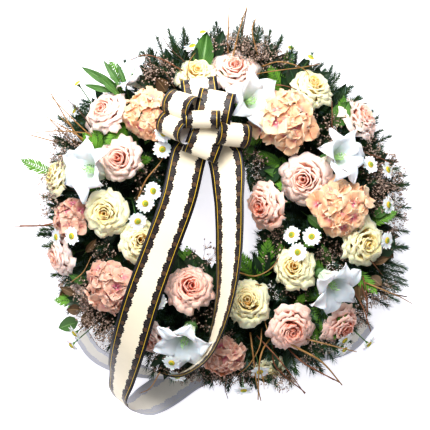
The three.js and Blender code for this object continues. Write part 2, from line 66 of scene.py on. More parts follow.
floor_mesh = bpy.data.meshes.new("floor")
bm = bmesh.new()
bmesh.ops.create_grid(bm, x_segments=1, y_segments=1, size=8)
bmesh.ops.translate(bm, verts=bm.verts, vec=(0, 0, -0.6 * MM))
bm.to_mesh(floor_mesh)
bm.free()
floor = bpy.data.objects.new("floor", floor_mesh)
bpy.context.collection.objects.link(floor)
floor_paint = bpy.data.materials.new("floor_paint")
floor_paint.use_nodes = True
floor_shader = floor_paint.node_tree.nodes["Principled BSDF"]
floor_shader.inputs["Base Color"].default_value = (0.86, 0.85, 0.90, 1)
floor_shader.inputs["Roughness"].default_value = 0.7
floor_shader.inputs["Emission Color"].default_value = (0.95, 0.94, 1.0, 1)
floor_shader.inputs["Emission Strength"].default_value = 0.62
floor_mesh.materials.append(floor_paint)

world = bpy.data.worlds.new("studio")
bpy.context.scene.world = world
world.use_nodes = True
world.node_tree.nodes["Background"].inputs["Color"].default_value = (0.93, 0.95, 1.0, 1)
world.node_tree.nodes["Background"].inputs["Strength"].default_value = 0.42

for name, place_at, size, watts, tint in (
    ("key_lamp", (-0.15, 1.0, 1.40), 1.0, 42, (1.0, 0.98, 0.955)),
    ("side_lamp", (-1.6, 0.3, 1.8), 1.2, 13, (0.98, 0.985, 1.0)),
):
    lamp = bpy.data.lights.new(name, "AREA")
    lamp.shape = "SQUARE"
    lamp.size = size
    lamp.energy = watts
    lamp.color = tint
    stand = bpy.data.objects.new(name, lamp)
    stand.location = AXIS + Vector(place_at)
    stand.rotation_euler = (AXIS - stand.location).to_track_quat("-Z", "Y").to_euler()
    bpy.context.collection.objects.link(stand)
bpy.context.scene.view_settings.view_transform = "Standard"
bpy.context.scene.view_settings.look = "Medium High Contrast"


# ---- Ribbon: a 58 mm woven ribbon with a cream middle and a black lace border printed along each
# edge. The print shows faintly through on the plain back. It is one long strip, cut in three.
FULL = 29  # half the ribbon's width, in mm
GATHERED = 7  # half its width where it is pinched into the knot
LACE_REPEAT = 24.5  # mm of ribbon to one repeat of the print
TEETH = 6  # teeth of lace to one repeat


def spread(angle, out, height, side=0.0):
    """A point out from the Z axis at an angle, up by a height, and to the left of that way."""
    c, s = math.cos(angle), math.sin(angle)
    return Vector((out * c - side * s, out * s + side * c, height))


def place(clock, reach, height):
    """A point at a clock angle in degrees from +X, a reach from the wreath's axis, and a height."""
    return AXIS + spread(math.radians(clock), reach, height) * MM


def node_in(tree, kind, inputs=(), **settings):
    """Adds a node with these settings. Its inputs are set to values or linked from sockets."""
    added = tree.nodes.new(kind)
    for key, value in settings.items():
        setattr(added, key, value)
    for key, value in dict(inputs).items():
        if isinstance(value, bpy.types.NodeSocket):
            tree.links.new(value, added.inputs[key])
        else:
            added.inputs[key].default_value = value
    return added


def sums(tree, operation, *values, clamp=False):
    return node_in(tree, "ShaderNodeMath", enumerate(values), operation=operation,
                   use_clamp=clamp).outputs[0]


def speckle(tree, at, scale, detail):
    return node_in(tree, "ShaderNodeTexNoise", {"Vector": at, "Scale": scale, "Detail": detail}).outputs[0]


def blended(tree, share, first, second):
    """A colour that goes from first to second as share goes from 0 to 1."""
    return node_in(tree, "ShaderNodeMix", {0: share, 6: first, 7: second}, data_type="RGBA").outputs[2]


def uv_of(tree, layer):
    """A UV map's vector, and its X, Y and Z."""
    vector = node_in(tree, "ShaderNodeUVMap", uv_map=layer).outputs[0]
    return vector, node_in(tree, "ShaderNodeSeparateXYZ", {0: vector}).outputs


def group_named(name, colours, floats=(), results=("Base Color", "Height")):
    """A new node group, its inputs to read from, and its outputs to fill."""
    made = bpy.data.node_groups.new(name, "ShaderNodeTree")
    for key in colours:
        made.interface.new_socket(key, in_out="INPUT", socket_type="NodeSocketColor")
    for key in floats:
        made.interface.new_socket(key, in_out="INPUT", socket_type="NodeSocketFloat")
    for key in results:
        kind = "Color" if key == "Base Color" else "Float"
        made.interface.new_socket(key, in_out="OUTPUT", socket_type=f"NodeSocket{kind}")
    read_from = made.nodes.new("NodeGroupInput").outputs
    return made, read_from, made.nodes.new("NodeGroupOutput").inputs


def put_out(group, results, *sockets):
    for socket, result in zip(sockets, results):
        group.links.new(socket, result)


def finish_from(name, group, values, relief, strength, surface):
    """A material that a group gives its colour and relief. surface goes to the shader's inputs."""
    made = bpy.data.materials.new(name)
    made.use_nodes = True
    tree = made.node_tree
    shader = tree.nodes["Principled BSDF"]
    for key, value in surface.items():
        shader.inputs[key].default_value = value
    filled = {key: (*value, 1) if isinstance(value, tuple) else value for key, value in values.items()}
    placed = node_in(tree, "ShaderNodeGroup", filled, node_tree=group)
    for socket in placed.outputs:
        if socket.name != "Height":
            tree.links.new(socket, shader.inputs[socket.name])
    bump = node_in(tree, "ShaderNodeBump", {"Strength": strength, "Distance": relief,
                                            "Height": placed.outputs["Height"]})
    tree.links.new(bump.outputs[0], shader.inputs["Normal"])
    return made


# Ribbon print group: a black border with a gold line and brown lace, on ribbed cream cloth. Each
# repeat of the lace is a netted medallion and a plain disc, edged with small teeth.
print_tones = ("Cream", "Shade", "Black", "Gold", "Brown", "Grey")
ribbon_print, print_in, print_out = group_named("ribbon_print", print_tones, ("Rough",),
                                                ("Base Color", "Roughness", "Height"))
inked = functools.partial(sums, ribbon_print)
cloth_at, (cloth_across, cloth_along, _) = uv_of(ribbon_print, "cloth")
edge = inked("MULTIPLY", inked("PINGPONG", cloth_across, 0.5), 2 * FULL)
run = inked("MULTIPLY", inked("FRACT", cloth_along), LACE_REPEAT)
medallion_at, disc_at = 7.6, 18.2


def lobe(middle, half, rise):
    """How far the lace reaches in, in millimetres, over one motif of the repeat."""
    off = inked("DIVIDE", inked("SUBTRACT", run, middle), half)
    hump = inked("SUBTRACT", 1.0, inked("MULTIPLY", off, off), clamp=True)
    return inked("MULTIPLY", inked("POWER", hump, 0.5), rise)


in_mm = node_in(ribbon_print, "ShaderNodeCombineXYZ", {0: edge, 1: run}).outputs[0]
rough_edge = speckle(ribbon_print, in_mm, 0.7, 2.0)
tooth = inked("ABSOLUTE", inked("SINE", inked("MULTIPLY", run, TEETH * math.pi / LACE_REPEAT)))
reach_in = inked("MAXIMUM", lobe(medallion_at, 6.4, 2.6), lobe(disc_at, 3.8, 1.6))
reach_in = inked("MULTIPLY_ADD", tooth, 1.5, inked("ADD", reach_in, 11.2))
reach_in = inked("MULTIPLY_ADD", rough_edge, 2.2, reach_in)
border = inked("LESS_THAN", edge, reach_in)
gold = inked("COMPARE", edge, 5.3, 0.5)


def span_from(along, aside):
    """How far the cloth is from a point of the repeat, in millimetres."""
    x = inked("SUBTRACT", run, along)
    y = inked("SUBTRACT", edge, aside)
    return inked("SQRT", inked("ADD", inked("MULTIPLY", x, x), inked("MULTIPLY", y, y)))


# Threads show as light arcs and cells over the dark ground, closest together in the medallion.
to_disc = span_from(disc_at, 9.9)
hollow = inked("COMPARE", to_disc, 1.6, 0.4)
disc = inked("SUBTRACT", inked("LESS_THAN", to_disc, 3.5), inked("MULTIPLY", hollow, 0.55))
cells = node_in(ribbon_print, "ShaderNodeTexVoronoi", {"Vector": in_mm, "Scale": 0.52}).outputs[0]
arcs = inked("SINE", inked("MULTIPLY", span_from(medallion_at, 6.4), 3.1))
threads = inked("GREATER_THAN", inked("MULTIPLY_ADD", arcs, 0.28, cells), 0.46)
net = inked("MULTIPLY", inked("LESS_THAN", span_from(medallion_at, 9.8), 5.4), threads)
net = inked("MAXIMUM", net, inked("MULTIPLY", inked("GREATER_THAN", cells, 0.62), 0.55))
net = inked("MULTIPLY", net, inked("GREATER_THAN", edge, 6.9))
net = inked("MULTIPLY", net, inked("LESS_THAN", edge, inked("SUBTRACT", reach_in, 2.0)))

ground = blended(ribbon_print, net, print_in["Black"], print_in["Grey"])
ground = blended(ribbon_print, disc, ground, print_in["Brown"])
ground = blended(ribbon_print, gold, ground, print_in["Gold"])
cloth = blended(ribbon_print, speckle(ribbon_print, cloth_at, 2.2, 3.0), print_in["Shade"],
                print_in["Cream"])
ribs = inked("SINE", inked("MULTIPLY", cloth_along, 150.0))
put_out(ribbon_print, print_out, blended(ribbon_print, border, cloth, ground),
        inked("MULTIPLY_ADD", border, -0.14, print_in["Rough"]), inked("MULTIPLY_ADD", net, 2.0, ribs))


def ribbon_finish(name, roughness, *tones):
    """The ribbon's cloth, printed in its own cream, black, gold, brown and grey."""
    shade = tuple(0.93 * part for part in tones[0])
    values = dict(zip(print_tones, (tones[0], shade, *tones[1:])), Rough=roughness)
    return finish_from(name, ribbon_print, values, 0.0002, 0.25,
                       {"Sheen Weight": 0.04, "Specular IOR Level": 0.3})


ribbon_face = ribbon_finish("ribbon_face", 0.42, (0.84, 0.75, 0.58), (0.007, 0.006, 0.010),
                            (0.60, 0.40, 0.03), (0.10, 0.055, 0.03), (0.042, 0.03, 0.025))
ribbon_back = ribbon_finish("ribbon_back", 0.55, (0.80, 0.76, 0.68), (0.50, 0.51, 0.57),
                            (0.60, 0.57, 0.50), (0.54, 0.53, 0.56), (0.58, 0.57, 0.60))


def smooth_at(points, share):
    """A point on a smooth curve through the points, and its direction, at a share of the run."""
    spans = len(points) - 1
    first = min(int(share * spans), spans - 1)
    t = share * spans - first
    b, c = points[first], points[first + 1]
    a = points[first - 1] if first else b * 2 - c
    d = points[first + 2] if first + 2 <= spans else c * 2 - b
    at = ((b * 2) + (c - a) * t + (a * 2 - b * 5 + c * 4 - d) * t**2
          + (b * 3 - a - c * 3 + d) * t**3) / 2
    ahead = ((c - a) + (a * 2 - b * 5 + c * 4 - d) * (2 * t)
             + (b * 3 - a - c * 3 + d) * (3 * t**2)) / 2
    return at, ahead.normalized()


def faces_round(verts):
    """The faces that meet these vertices, each once."""
    return list(dict.fromkeys(face for vert in verts for face in vert.link_faces))


def ribbon_strip(bm, stations, cells=12, cup=0.0):
    """Lays one strip of ribbon along stations (point, across, half width), with its cloth UV."""
    layer = bm.loops.layers.uv.get("cloth") or bm.loops.layers.uv.new("cloth")
    made = bmesh.ops.create_grid(bm, x_segments=cells, y_segments=len(stations) - 1, size=1)
    lengths = [0.0]
    for (here, _, _), (there, _, _) in zip(stations, stations[1:]):
        lengths.append(lengths[-1] + (there - here).length)
    spot = {}
    for vert in made["verts"]:
        share = (vert.co.x + 1) / 2
        row = round((vert.co.y + 1) / 2 * (len(stations) - 1))
        at, across, half = stations[row]
        ahead = stations[min(row + 1, len(stations) - 1)][0] - stations[max(row - 1, 0)][0]
        normal = across.cross(ahead).normalized()
        spot[vert] = (share, lengths[row] / (LACE_REPEAT * MM))
        bow = cup * (1 - (2 * share - 1) ** 2)
        vert.co = at - across.normalized() * half * (2 * share - 1) - normal * bow
    for face in faces_round(made["verts"]):
        for loop in face.loops:
            loop[layer].uv = spot[loop.vert]


CLEARANCE = 0.4 * MM  # how far above the ground the lowest points of a piece are kept


def piece_from(bm, name, *materials, smooth=True):
    """Closes a bmesh into a finished object with its materials."""
    for vert in bm.verts:
        vert.co.z = max(vert.co.z, CLEARANCE)
    mesh = bpy.data.meshes.new(name)
    bm.to_mesh(mesh)
    bm.free()
    for made in materials:
        mesh.materials.append(made)
    if smooth:
        mesh.shade_smooth()
    made = bpy.data.objects.new(name, mesh)
    bpy.context.collection.objects.link(made)
    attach(made, "root")
    return made


def thicken(made, thickness, back=0):
    """Gives cloth its thickness. back is how far on in the materials its back's finish is."""
    wall = made.modifiers.new("cloth", "SOLIDIFY")
    wall.thickness = thickness
    wall.offset = 0
    wall.material_offset = back


def ribbon_piece(bm, name, node):
    made = piece_from(bm, name, ribbon_face, ribbon_back)
    thicken(made, 0.4 * MM, back=1)
    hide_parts(node)
    return made


# The bow: loops of the same ribbon, wired together at a gathered knot. Each loop is a fat ring that
# stands where a florist has pulled it: up, down, to a side, and one small loop on top.
KNOT = place(103.2, 152, 165)


def loop_stations(middle, heading, tilt, reach, tall, steps=52):
    """A loop round middle, in mm from the axis. heading is where its outer end points, and tilt
    raises its right side. reach and tall are half its size along heading and upwards."""
    turn, lean = math.radians(heading), math.radians(tilt)
    forward, left = spread(turn, 1, 0), spread(turn, 0, 0, 1)
    across = left * math.cos(lean) - Vector((0, 0, 1)) * math.sin(lean)
    up = forward.cross(across)
    centre = AXIS + Vector(middle) * MM
    ring = []
    for i in range(13):
        angle = math.radians(232 - 24 * i)
        ring.append(centre + (forward * reach * math.cos(angle) + up * tall * math.sin(angle)) * MM)
    points = [KNOT, KNOT.lerp(ring[0], 0.5), *ring, KNOT.lerp(ring[-1], 0.5), KNOT]
    opening = 2.2 / (len(points) - 1)  # the share of the run over which the pinched ribbon opens
    stations = []
    for i in range(steps + 1):
        share = i / steps
        at, ahead = smooth_at(points, share)
        near = min(1.0, min(share, 1 - share) / opening) ** 1.5
        side = (across - ahead * across.dot(ahead) * (1 - 0.4 * near)).normalized()
        stations.append((at, side, (GATHERED + (FULL - GATHERED) * near) * MM))
    return stations


bm = bmesh.new()
# Each loop's middle in mm from the axis, then its heading, tilt, reach and height.
for loop in (
    ((-38, 180, 167), 98, 0, 31, 15), ((-16, 163, 180), 79, 4, 28, 17),
    ((-66, 166, 182), 70, 40, 21, 18), ((-77, 133, 178), 63, 42, 19, 17),
    ((9, 122, 178), 84, -26, 19, 16), ((-31, 112, 170), 249, 0, 28, 16),
    ((-37, 145, 193), 90, 0, 14, 17),
):
    stations = loop_stations(*loop)
    ribbon_strip(bm, stations)
bow = ribbon_piece(bm, "bow", "bow_loops")

# The tails: the left one falls over the flowers, folds softly under itself beyond the rim and comes
# out at the right, lying on the floor. The right one falls through the middle, turns onto its edge
# and runs under the left one.
def run_stations(rows, steps):
    """Stations along a run from rows of a point in mm from the axis, a roll and a half width."""
    points = [AXIS + Vector(at) * MM for at, _, _ in rows]
    stations = []
    for i in range(steps + 1):
        share = i / steps
        at, ahead = smooth_at(points, share)
        first = min(int(share * (len(rows) - 1)), len(rows) - 2)
        part = share * (len(rows) - 1) - first
        roll, half = (here + (there - here) * part
                      for here, there in zip(rows[first][1:], rows[first + 1][1:]))
        flat = Vector((0, 0, 1)).cross(ahead).normalized()
        across = Matrix.Rotation(math.radians(roll), 3, ahead) @ flat
        stations.append((at, across, half * MM))
    return stations


left_run = run_stations((
    ((-38, 132, 144), 0, 8), ((-57, 92, 153), -6, FULL), ((-74, 19, 168), -16, FULL),
    ((-103, -61, 172), -18, FULL), ((-132, -141, 167), -8, FULL), ((-154, -214, 134), 10, FULL),
    ((-168, -264, 84), 34, FULL), ((-174, -298, 44), 62, FULL), ((-158, -318, 31), 96, FULL),
    ((-130, -312, 20), 146, FULL), ((-94, -292, 6), 180, FULL), ((-54, -265, 8), 188, FULL),
    ((-2, -244, 14), 200, FULL), ((54, -234, 22), 222, FULL), ((108, -230, 23), 225, FULL),
    ((158, -226, 23), 225, FULL), ((202, -212, 23), 225, FULL), ((231, -178, 23), 225, FULL),
), 240)
right_run = run_stations((
    ((-26, 131, 146), 0, 8), ((0, 87, 157), 12, FULL), ((6, 19, 173), 37, FULL),
    ((6, -60, 177), 44, FULL), ((-1, -136, 175), 60, FULL), ((-22, -208, 156), 73, FULL),
    ((-52, -247, 108), 86, FULL), ((-84, -262, 66), 100, FULL), ((-124, -262, 42), 114, FULL),
    ((-172, -252, 38), 120, FULL), ((-212, -232, 32), 120, FULL), ((-238, -196, 28), 120, FULL),
), 180)
for name, stations, under in (
    ("left", left_run, ["fir_bunch_4", "fir_bunch_5"]),
    ("right", right_run, ["fir_bunch_5", "fir_bunch_4"]),
):
    bm = bmesh.new()
    ribbon_strip(bm, stations, cup=0.8 * MM)
    tail = ribbon_piece(bm, f"{name}_tail", f"ribbon_tail_{name}")
    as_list(under)


# ---- Roses: cut-cloth petals heat-pressed into cups and threaded on a wire, from a tight heart to
# broad guard petals with rolled lips. Each stands on its own pick, pushed into the foam ring.
heads = []  # (middle, radius) of every flower head, for the greenery to keep clear of


def head_of(node):
    """Where a flower's pick starts, where its calyx begins, its axis and its height above that."""
    points = [vert.co.copy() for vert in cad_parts[node].data.vertices]
    mean = sum(points, Vector()) / len(points)
    tip = max(points, key=lambda point: (point - mean).length)
    end = [point for point in points if (point - tip).length < 4 * MM]
    foot = sum(end, Vector()) / len(end)
    # The pick has no points between its end and its collar, so the nearest of the rest are there.
    runs = [(point - foot).length for point in points if (point - foot).length > 20 * MM]
    ring = [point for point in points if 0 <= (point - foot).length - min(runs) < 1.2 * MM]
    collar = sum(ring, Vector()) / len(ring)
    axis = (collar - foot).normalized()
    return foot, collar, axis, max((point - collar).dot(axis) for point in points)


def paint(verts, index):
    """Gives the faces round these vertices one of their piece's materials."""
    for face in faces_round(verts):
        face.material_index = index


def aimed(at, axis, spin=0.0, size=1.0):
    """Scales a form, spins it about +Z, and carries +Z onto an axis at a point."""
    turn = Vector((0, 0, 1)).rotation_difference(axis).to_matrix().to_4x4()
    return Matrix.Translation(at) @ turn @ Matrix.Rotation(spin, 4, "Z") @ Matrix.Scale(size, 4)


def petal_onto(bm, shape, across, along, ring, tint):
    """Adds one petal: a grid bent by shape(u, v), u from -1 to 1 and v from base to tip. One UV map
    holds the place on the petal. The other holds its ring, from the heart out, and its tint."""
    petal = bm.loops.layers.uv.get("petal") or bm.loops.layers.uv.new("petal")
    where = bm.loops.layers.uv.get("where") or bm.loops.layers.uv.new("where")
    made = bmesh.ops.create_grid(bm, x_segments=across, y_segments=along, size=1)
    flat = {vert: (vert.co.x, (vert.co.y + 1) / 2) for vert in made["verts"]}
    for vert, (u, v) in flat.items():
        vert.co = shape(u, v)
    for face in faces_round(flat):
        for loop in face.loops:
            u, v = flat[loop.vert]
            loop[petal].uv = ((u + 1) / 2, v)
            loop[where].uv = (ring, tint)


def form_from(bm, name):
    """Keeps a bmesh as a form that is copied into place many times."""
    form = bpy.data.meshes.new(name)
    bm.to_mesh(form)
    bm.free()
    return form


def put(bm, form, matrix, finishes=None):
    """Adds a copy of a form. finishes gives other numbers to the form's materials."""
    copy = form.copy()
    copy.transform(matrix)
    if finishes:
        for polygon in copy.polygons:
            polygon.material_index = finishes[polygon.material_index]
    bm.from_mesh(copy)
    bpy.data.meshes.remove(copy)


def stem_onto(bm, start, end, radius, material_index, sides=6, thin=1.0):
    """A straight closed stem. thin is its end's radius over its start's."""
    before = set(bm.verts)
    run = end - start
    bmesh.ops.create_cone(bm, cap_ends=True, segments=sides, radius1=radius, radius2=radius * thin,
                          depth=run.length)
    made = [vert for vert in bm.verts if vert not in before]
    bmesh.ops.transform(bm, verts=made, matrix=aimed((start + end) / 2, run.normalized()))
    paint(made, material_index)


# Rings of petals: how many, how far out the ring is from 0 to 1, and half the arc of one, in degrees.
ROSE_RINGS = ((3, 0.02, 112), (3, 0.12, 96), (4, 0.25, 78), (5, 0.39, 62), (5, 0.53, 56),
              (6, 0.68, 47), (6, 0.84, 42), (6, 1.0, 40))


def rose_form(seed):
    """A rose one unit in radius, opening towards +Z: a wound heart in rings of rolled petals."""
    rnd = random.Random(seed)
    bm = bmesh.new()
    lean_way, lean = rnd.uniform(0, math.tau), rnd.uniform(0.05, 0.15)
    for count, ring, half_arc in ROSE_RINGS:
        first = rnd.uniform(0, math.tau)
        for i in range(count):
            s = min(1.0, max(0.0, ring + rnd.uniform(-0.05, 0.05)))
            start = first + math.tau * i / count + rnd.uniform(-0.22, 0.22)
            span = math.radians(half_arc) * rnd.uniform(0.9, 1.12)
            top = 0.50 + 0.06 * math.sin(math.pi * s) - 0.40 * s**2.2 + rnd.uniform(-0.04, 0.04)
            roll = rnd.uniform(0.7, 1.35)
            drift = rnd.uniform(0, 99)
            point = rnd.uniform(-0.3, 0.3)

            def shape(u, v):
                lip = max(0.0, (v - 0.62) / 0.38) ** 1.8
                radius = 0.03 + 0.18 * s + (0.05 + 0.60 * s) * v**0.75
                radius += (0.05 + 0.16 * s) * math.sin(math.pi * min(v, 0.9))
                radius += (0.03 + 0.20 * s) * lip * roll * (1 - 0.4 * abs(u - point))
                radius *= 1 + 0.10 * u * (1 - 0.3 * s)
                height = -0.62 + (top + 0.62) * math.sin(v * math.pi / 2) ** 0.9
                height -= (0.02 + 0.22 * s) * lip * roll
                height -= (0.05 + 0.20 * s) * abs(u - 0.5 * point) ** 2.4 * v
                radius += 0.13 * noise.noise(Vector((2.3 * u, 1.6 * v, drift))) * v * (0.35 + s)
                height += 0.13 * noise.noise(Vector((2.6 * u, 3.1, drift))) * v
                radius += 0.034 * math.sin(7.5 * u + drift) * v**4 * (0.5 + s)
                angle = start + u * span * (0.42 + 0.58 * math.sin(math.pi * min(1, 0.12 + 0.62 * v)))
                outer = max(0.0, 1 - 0.8 * s)
                return spread(angle, radius, height) + spread(lean_way, lean * outer * v, 0)

            petal_onto(bm, shape, across=9 if s > 0.3 else 7, along=7, ring=s, tint=rnd.random())
    return form_from(bm, f"rose_form_{seed}")


def object_of(tree):
    return tree.nodes.new("ShaderNodeTexCoord").outputs["Object"]


def ramp(tree, value, low, high):
    """Goes from 0 to 1 as value goes from low to high."""
    inputs = {"Value": value, "From Min": low, "From Max": high}
    return node_in(tree, "ShaderNodeMapRange", inputs).outputs[0]


# Petal cloth group: a tone from heart to rim, faint veins and mottling, and a fine crinkle. Each
# petal's foot also takes more of the heart's tone, which is painted shade in the creases between
# petals. Throat greens the petal's foot, and Flush turns a few petals' feet magenta.
petal_tones = ("Heart", "Rim", "Edge")
petal_cloth, cloth_in, cloth_out = group_named("petal_cloth", petal_tones, ("Blush", "Throat", "Flush"))
woven = functools.partial(sums, petal_cloth)
petal_at, (_, up_petal, _) = uv_of(petal_cloth, "petal")
_, (ring_at, tint_at, _) = uv_of(petal_cloth, "where")
object_at = object_of(petal_cloth)
mottle = speckle(petal_cloth, object_at, 95.0, 3.0)
# Rings nearer the heart take more of its tone, as the cloth is dyed. The foot of every petal takes more of
# it too, as painted shade in the creases.
tone_share_with_painted_crease_shade = woven("MULTIPLY_ADD", up_petal, 0.50, woven("MULTIPLY_ADD", mottle, 0.35, ring_at))
tone_share_with_painted_crease_shade = woven("SUBTRACT", woven("MULTIPLY_ADD", tint_at, 0.16, tone_share_with_painted_crease_shade), 0.47, clamp=True)
tone = blended(petal_cloth, tone_share_with_painted_crease_shade, cloth_in["Heart"], cloth_in["Rim"])
lip = woven("MULTIPLY", woven("POWER", up_petal, 9.0), 0.55)
tone = blended(petal_cloth, lip, tone, cloth_in["Edge"])
patch = woven("SUBTRACT", speckle(petal_cloth, object_at, 38.0, 1.0), 0.5)
patch = woven("MULTIPLY", patch, cloth_in["Blush"], clamp=True)
tone = blended(petal_cloth, patch, tone, cloth_in["Heart"])
in_throat = woven("MULTIPLY", ramp(petal_cloth, up_petal, 0.44, 0.06), cloth_in["Throat"])
tone = blended(petal_cloth, in_throat, tone, (0.60, 0.66, 0.46, 1))
near_bead = woven("SUBTRACT", 1.0, woven("MULTIPLY", up_petal, 2.0), clamp=True)
flush = woven("SUBTRACT", speckle(petal_cloth, object_at, 26.0, 0.0), 0.42)
flush = woven("MULTIPLY", woven("MULTIPLY", flush, 9.0, clamp=True), near_bead)
tone = blended(petal_cloth, woven("MULTIPLY", flush, cloth_in["Flush"]), tone, (0.80, 0.17, 0.30, 1))
stretched = node_in(petal_cloth, "ShaderNodeMapping", {"Vector": petal_at, "Scale": (26.0, 1.6, 1.0)})
veins = speckle(petal_cloth, stretched.outputs[0], 1.0, 2.0)
put_out(petal_cloth, cloth_out, tone, woven("MULTIPLY_ADD", mottle, 0.8, veins))


def petal_finish(name, *tones, blush=0.5, throat=0.0, flush=0.0, roughness=0.62, relief=0.0006):
    values = dict(zip(petal_tones, tones), Blush=blush, Throat=throat, Flush=flush)
    return finish_from(name, petal_cloth, values, relief, 0.5,
                       {"Roughness": roughness, "Sheen Weight": 0.10, "Subsurface Weight": 0.35,
                        "Subsurface Radius": (1.0, 0.45, 0.3), "Subsurface Scale": 0.004})


# Mottled group: two tones in blots, with a finer relief, for stems, needles, bark and foam.
mottled, mottled_in, mottled_out = group_named("mottled", ("Dark", "Light"), ("Scale",))
object_at = object_of(mottled)
blots = ramp(mottled, speckle(mottled, object_at, mottled_in["Scale"], 4.0), 0.3, 0.7)
grain = speckle(mottled, object_at, sums(mottled, "MULTIPLY", mottled_in["Scale"], 9.0), 3.0)
put_out(mottled, mottled_out, blended(mottled, blots, mottled_in["Dark"], mottled_in["Light"]), grain)


def plain_finish(name, dark, light, roughness, scale=60.0, relief=0.0004, shine=0.5):
    values = {"Dark": dark, "Light": light, "Scale": scale}
    return finish_from(name, mottled, values, relief, 0.6,
                       {"Roughness": roughness, "Specular IOR Level": shine})


stem_green = plain_finish("stem_green", (0.045, 0.11, 0.03), (0.09, 0.2, 0.05), 0.55)
pink_cloth = petal_finish("pink_cloth", (0.95, 0.33, 0.20), (0.97, 0.66, 0.56), (0.98, 0.83, 0.77))
coral_cloth = petal_finish("coral_cloth", (0.86, 0.18, 0.08), (0.94, 0.51, 0.41), (0.97, 0.76, 0.69))
cream_cloth = petal_finish("cream_cloth", (0.96, 0.62, 0.12), (0.98, 0.87, 0.50), (0.98, 0.93, 0.74),
                           blush=0.3)


PICK = 1.5 * MM  # the radius of the wired pick that a head or a bunch stands on


def flower(node, name, form, petals, below, tall, turn, fullness, nod=(0, 0, 0)):
    """Places a unit form on its pick. below and tall are its calyx and its height, in radii. The
    head nods towards nod[0] by nod[1] degrees, as seen from above, and slides that way as nod[2]
    goes from 0 to 1. Returns the unit's matrix."""
    foot, collar, axis, height = head_of(node)
    size = height / tall
    straight = collar + axis * below * size
    hinge = spread(math.radians(nod[0]), 0, 0, 1)
    axis = Matrix.Rotation(math.radians(nod[1]), 3, hinge) @ axis
    middle = straight.lerp(collar + axis * below * size, nod[2])
    heads.append((middle, size))
    bm = bmesh.new()
    put(bm, form, aimed(middle, axis, turn, size * fullness))
    made = piece_from(bm, name, *petals)
    thicken(made, 0.35 * MM)
    # The pick, the calyx tube up to the head, and a cup that flares under the petals.
    bm = bmesh.new()
    stem_onto(bm, foot, collar, PICK, 0)
    base = middle - axis * below * size
    if (base - collar).length > MM:
        stem_onto(bm, collar, base, 0.07 * size, 0, sides=8)
    stem_onto(bm, base - axis * 2 * MM, base + axis * 0.24 * size, 0.10 * size, 0, sides=8, thin=2.6)
    stem = piece_from(bm, f"{name}_stem", stem_green)
    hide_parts(node)
    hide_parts(node)
    return aimed(middle, axis, turn, size)


rose_forms = [rose_form(seed) for seed in range(7)]
rose_size = {"below": 0.86, "tall": 1.42, "fullness": 1.1}
for i in range(12):
    flower(f"pink_rose_{i + 1}", f"pink_rose_head_{i + 1}", rose_forms[i % 7],
           [coral_cloth if i in (5, 7, 9, 10) else pink_cloth], turn=1.9 * i, **rose_size)
for i in range(9):
    flower(f"cream_rose_{i + 1}", f"cream_rose_head_{i + 1}", rose_forms[(i + 3) % 7],
           [cream_cloth], turn=2.3 * i + 0.7, **rose_size)


# ---- Lilies: six long cloth petals that open from a narrow throat and curl back at their points,
# round a cluster of moulded pale green stamens.
def lily_form(seed):
    rnd = random.Random(seed)
    bm = bmesh.new()
    for i in range(6):
        inner = i % 2
        start = math.radians(60 * i + rnd.uniform(-7, 7))
        width = (0.42 if inner else 0.33) * rnd.uniform(0.90, 1.08)
        long = rnd.uniform(0.94, 1.16)
        curl = rnd.uniform(0.3, 1.5)
        side_lean = rnd.uniform(-0.08, 0.08)
        drift = rnd.uniform(0, 99)

        def shape(u, v):
            radius = 0.07 + 0.15 * v + 0.86 * long * max(0, v - 0.14) ** 1.3
            height = -0.98 + 1.14 * math.sin(min(1.0, v / 0.74) * math.pi / 2)
            height -= 0.60 * curl * max(0, v - 0.60) ** 1.7 + (0.03 if inner else 0)
            swell = min(1.0, (v / 0.42) ** 0.8) * (1 - max(0.0, (v - 0.46) / 0.54) ** 1.9)
            swell = max(swell, 0.05)
            side = u * width * swell + side_lean * v * v
            radius -= 0.10 * abs(u) ** 2 * swell * (1 - v)
            height += 0.14 * (abs(u) ** 1.6) * swell * (0.85 - v)
            height += 0.03 * (1 - abs(u)) ** 3 * swell
            height += 0.20 * noise.noise(Vector((3.2 * v, 2 * u, drift))) * abs(u)
            height += 0.05 * math.sin(13 * v + drift) * u * abs(u)
            height -= 0.06 * math.exp(-30 * u * u) * v
            return spread(start, radius, height, side)

        petal_onto(bm, shape, across=8, along=16, ring=rnd.uniform(0.5, 0.7), tint=rnd.random())
    return form_from(bm, f"lily_form_{seed}")


def stamen_form():
    """A pistil amid six fine stamens, all with short slanted tips."""
    bm = bmesh.new()
    for i in range(7):
        turn = math.radians(60 * i)
        out = 0.0 if i == 6 else 0.11
        top = spread(turn, out, -0.10 + (0.24 if i == 6 else 0))
        stem_onto(bm, spread(turn, 0.02, -0.85), top, 0.013, 0, sides=5, thin=0.8)
        side = spread(turn, 0, 1.1, 1) * 0.055
        stem_onto(bm, top - side, top + side, 0.022, 0, sides=5, thin=0.6)
    return form_from(bm, "stamen_form")


# The white cloth's grey heart tone is painted shade deep in the lily's throat.
white_cloth = petal_finish("white_cloth", (0.64, 0.66, 0.64), (0.80, 0.80, 0.83), (0.88, 0.88, 0.91),
                           blush=0.1, throat=1.0, roughness=0.5, relief=0.0004)
stamen_green = plain_finish("stamen_green", (0.30, 0.58, 0.16), (0.55, 0.80, 0.34), 0.4)

lily_forms = [lily_form(seed) for seed in (11, 12, 13)]
stamens = stamen_form()
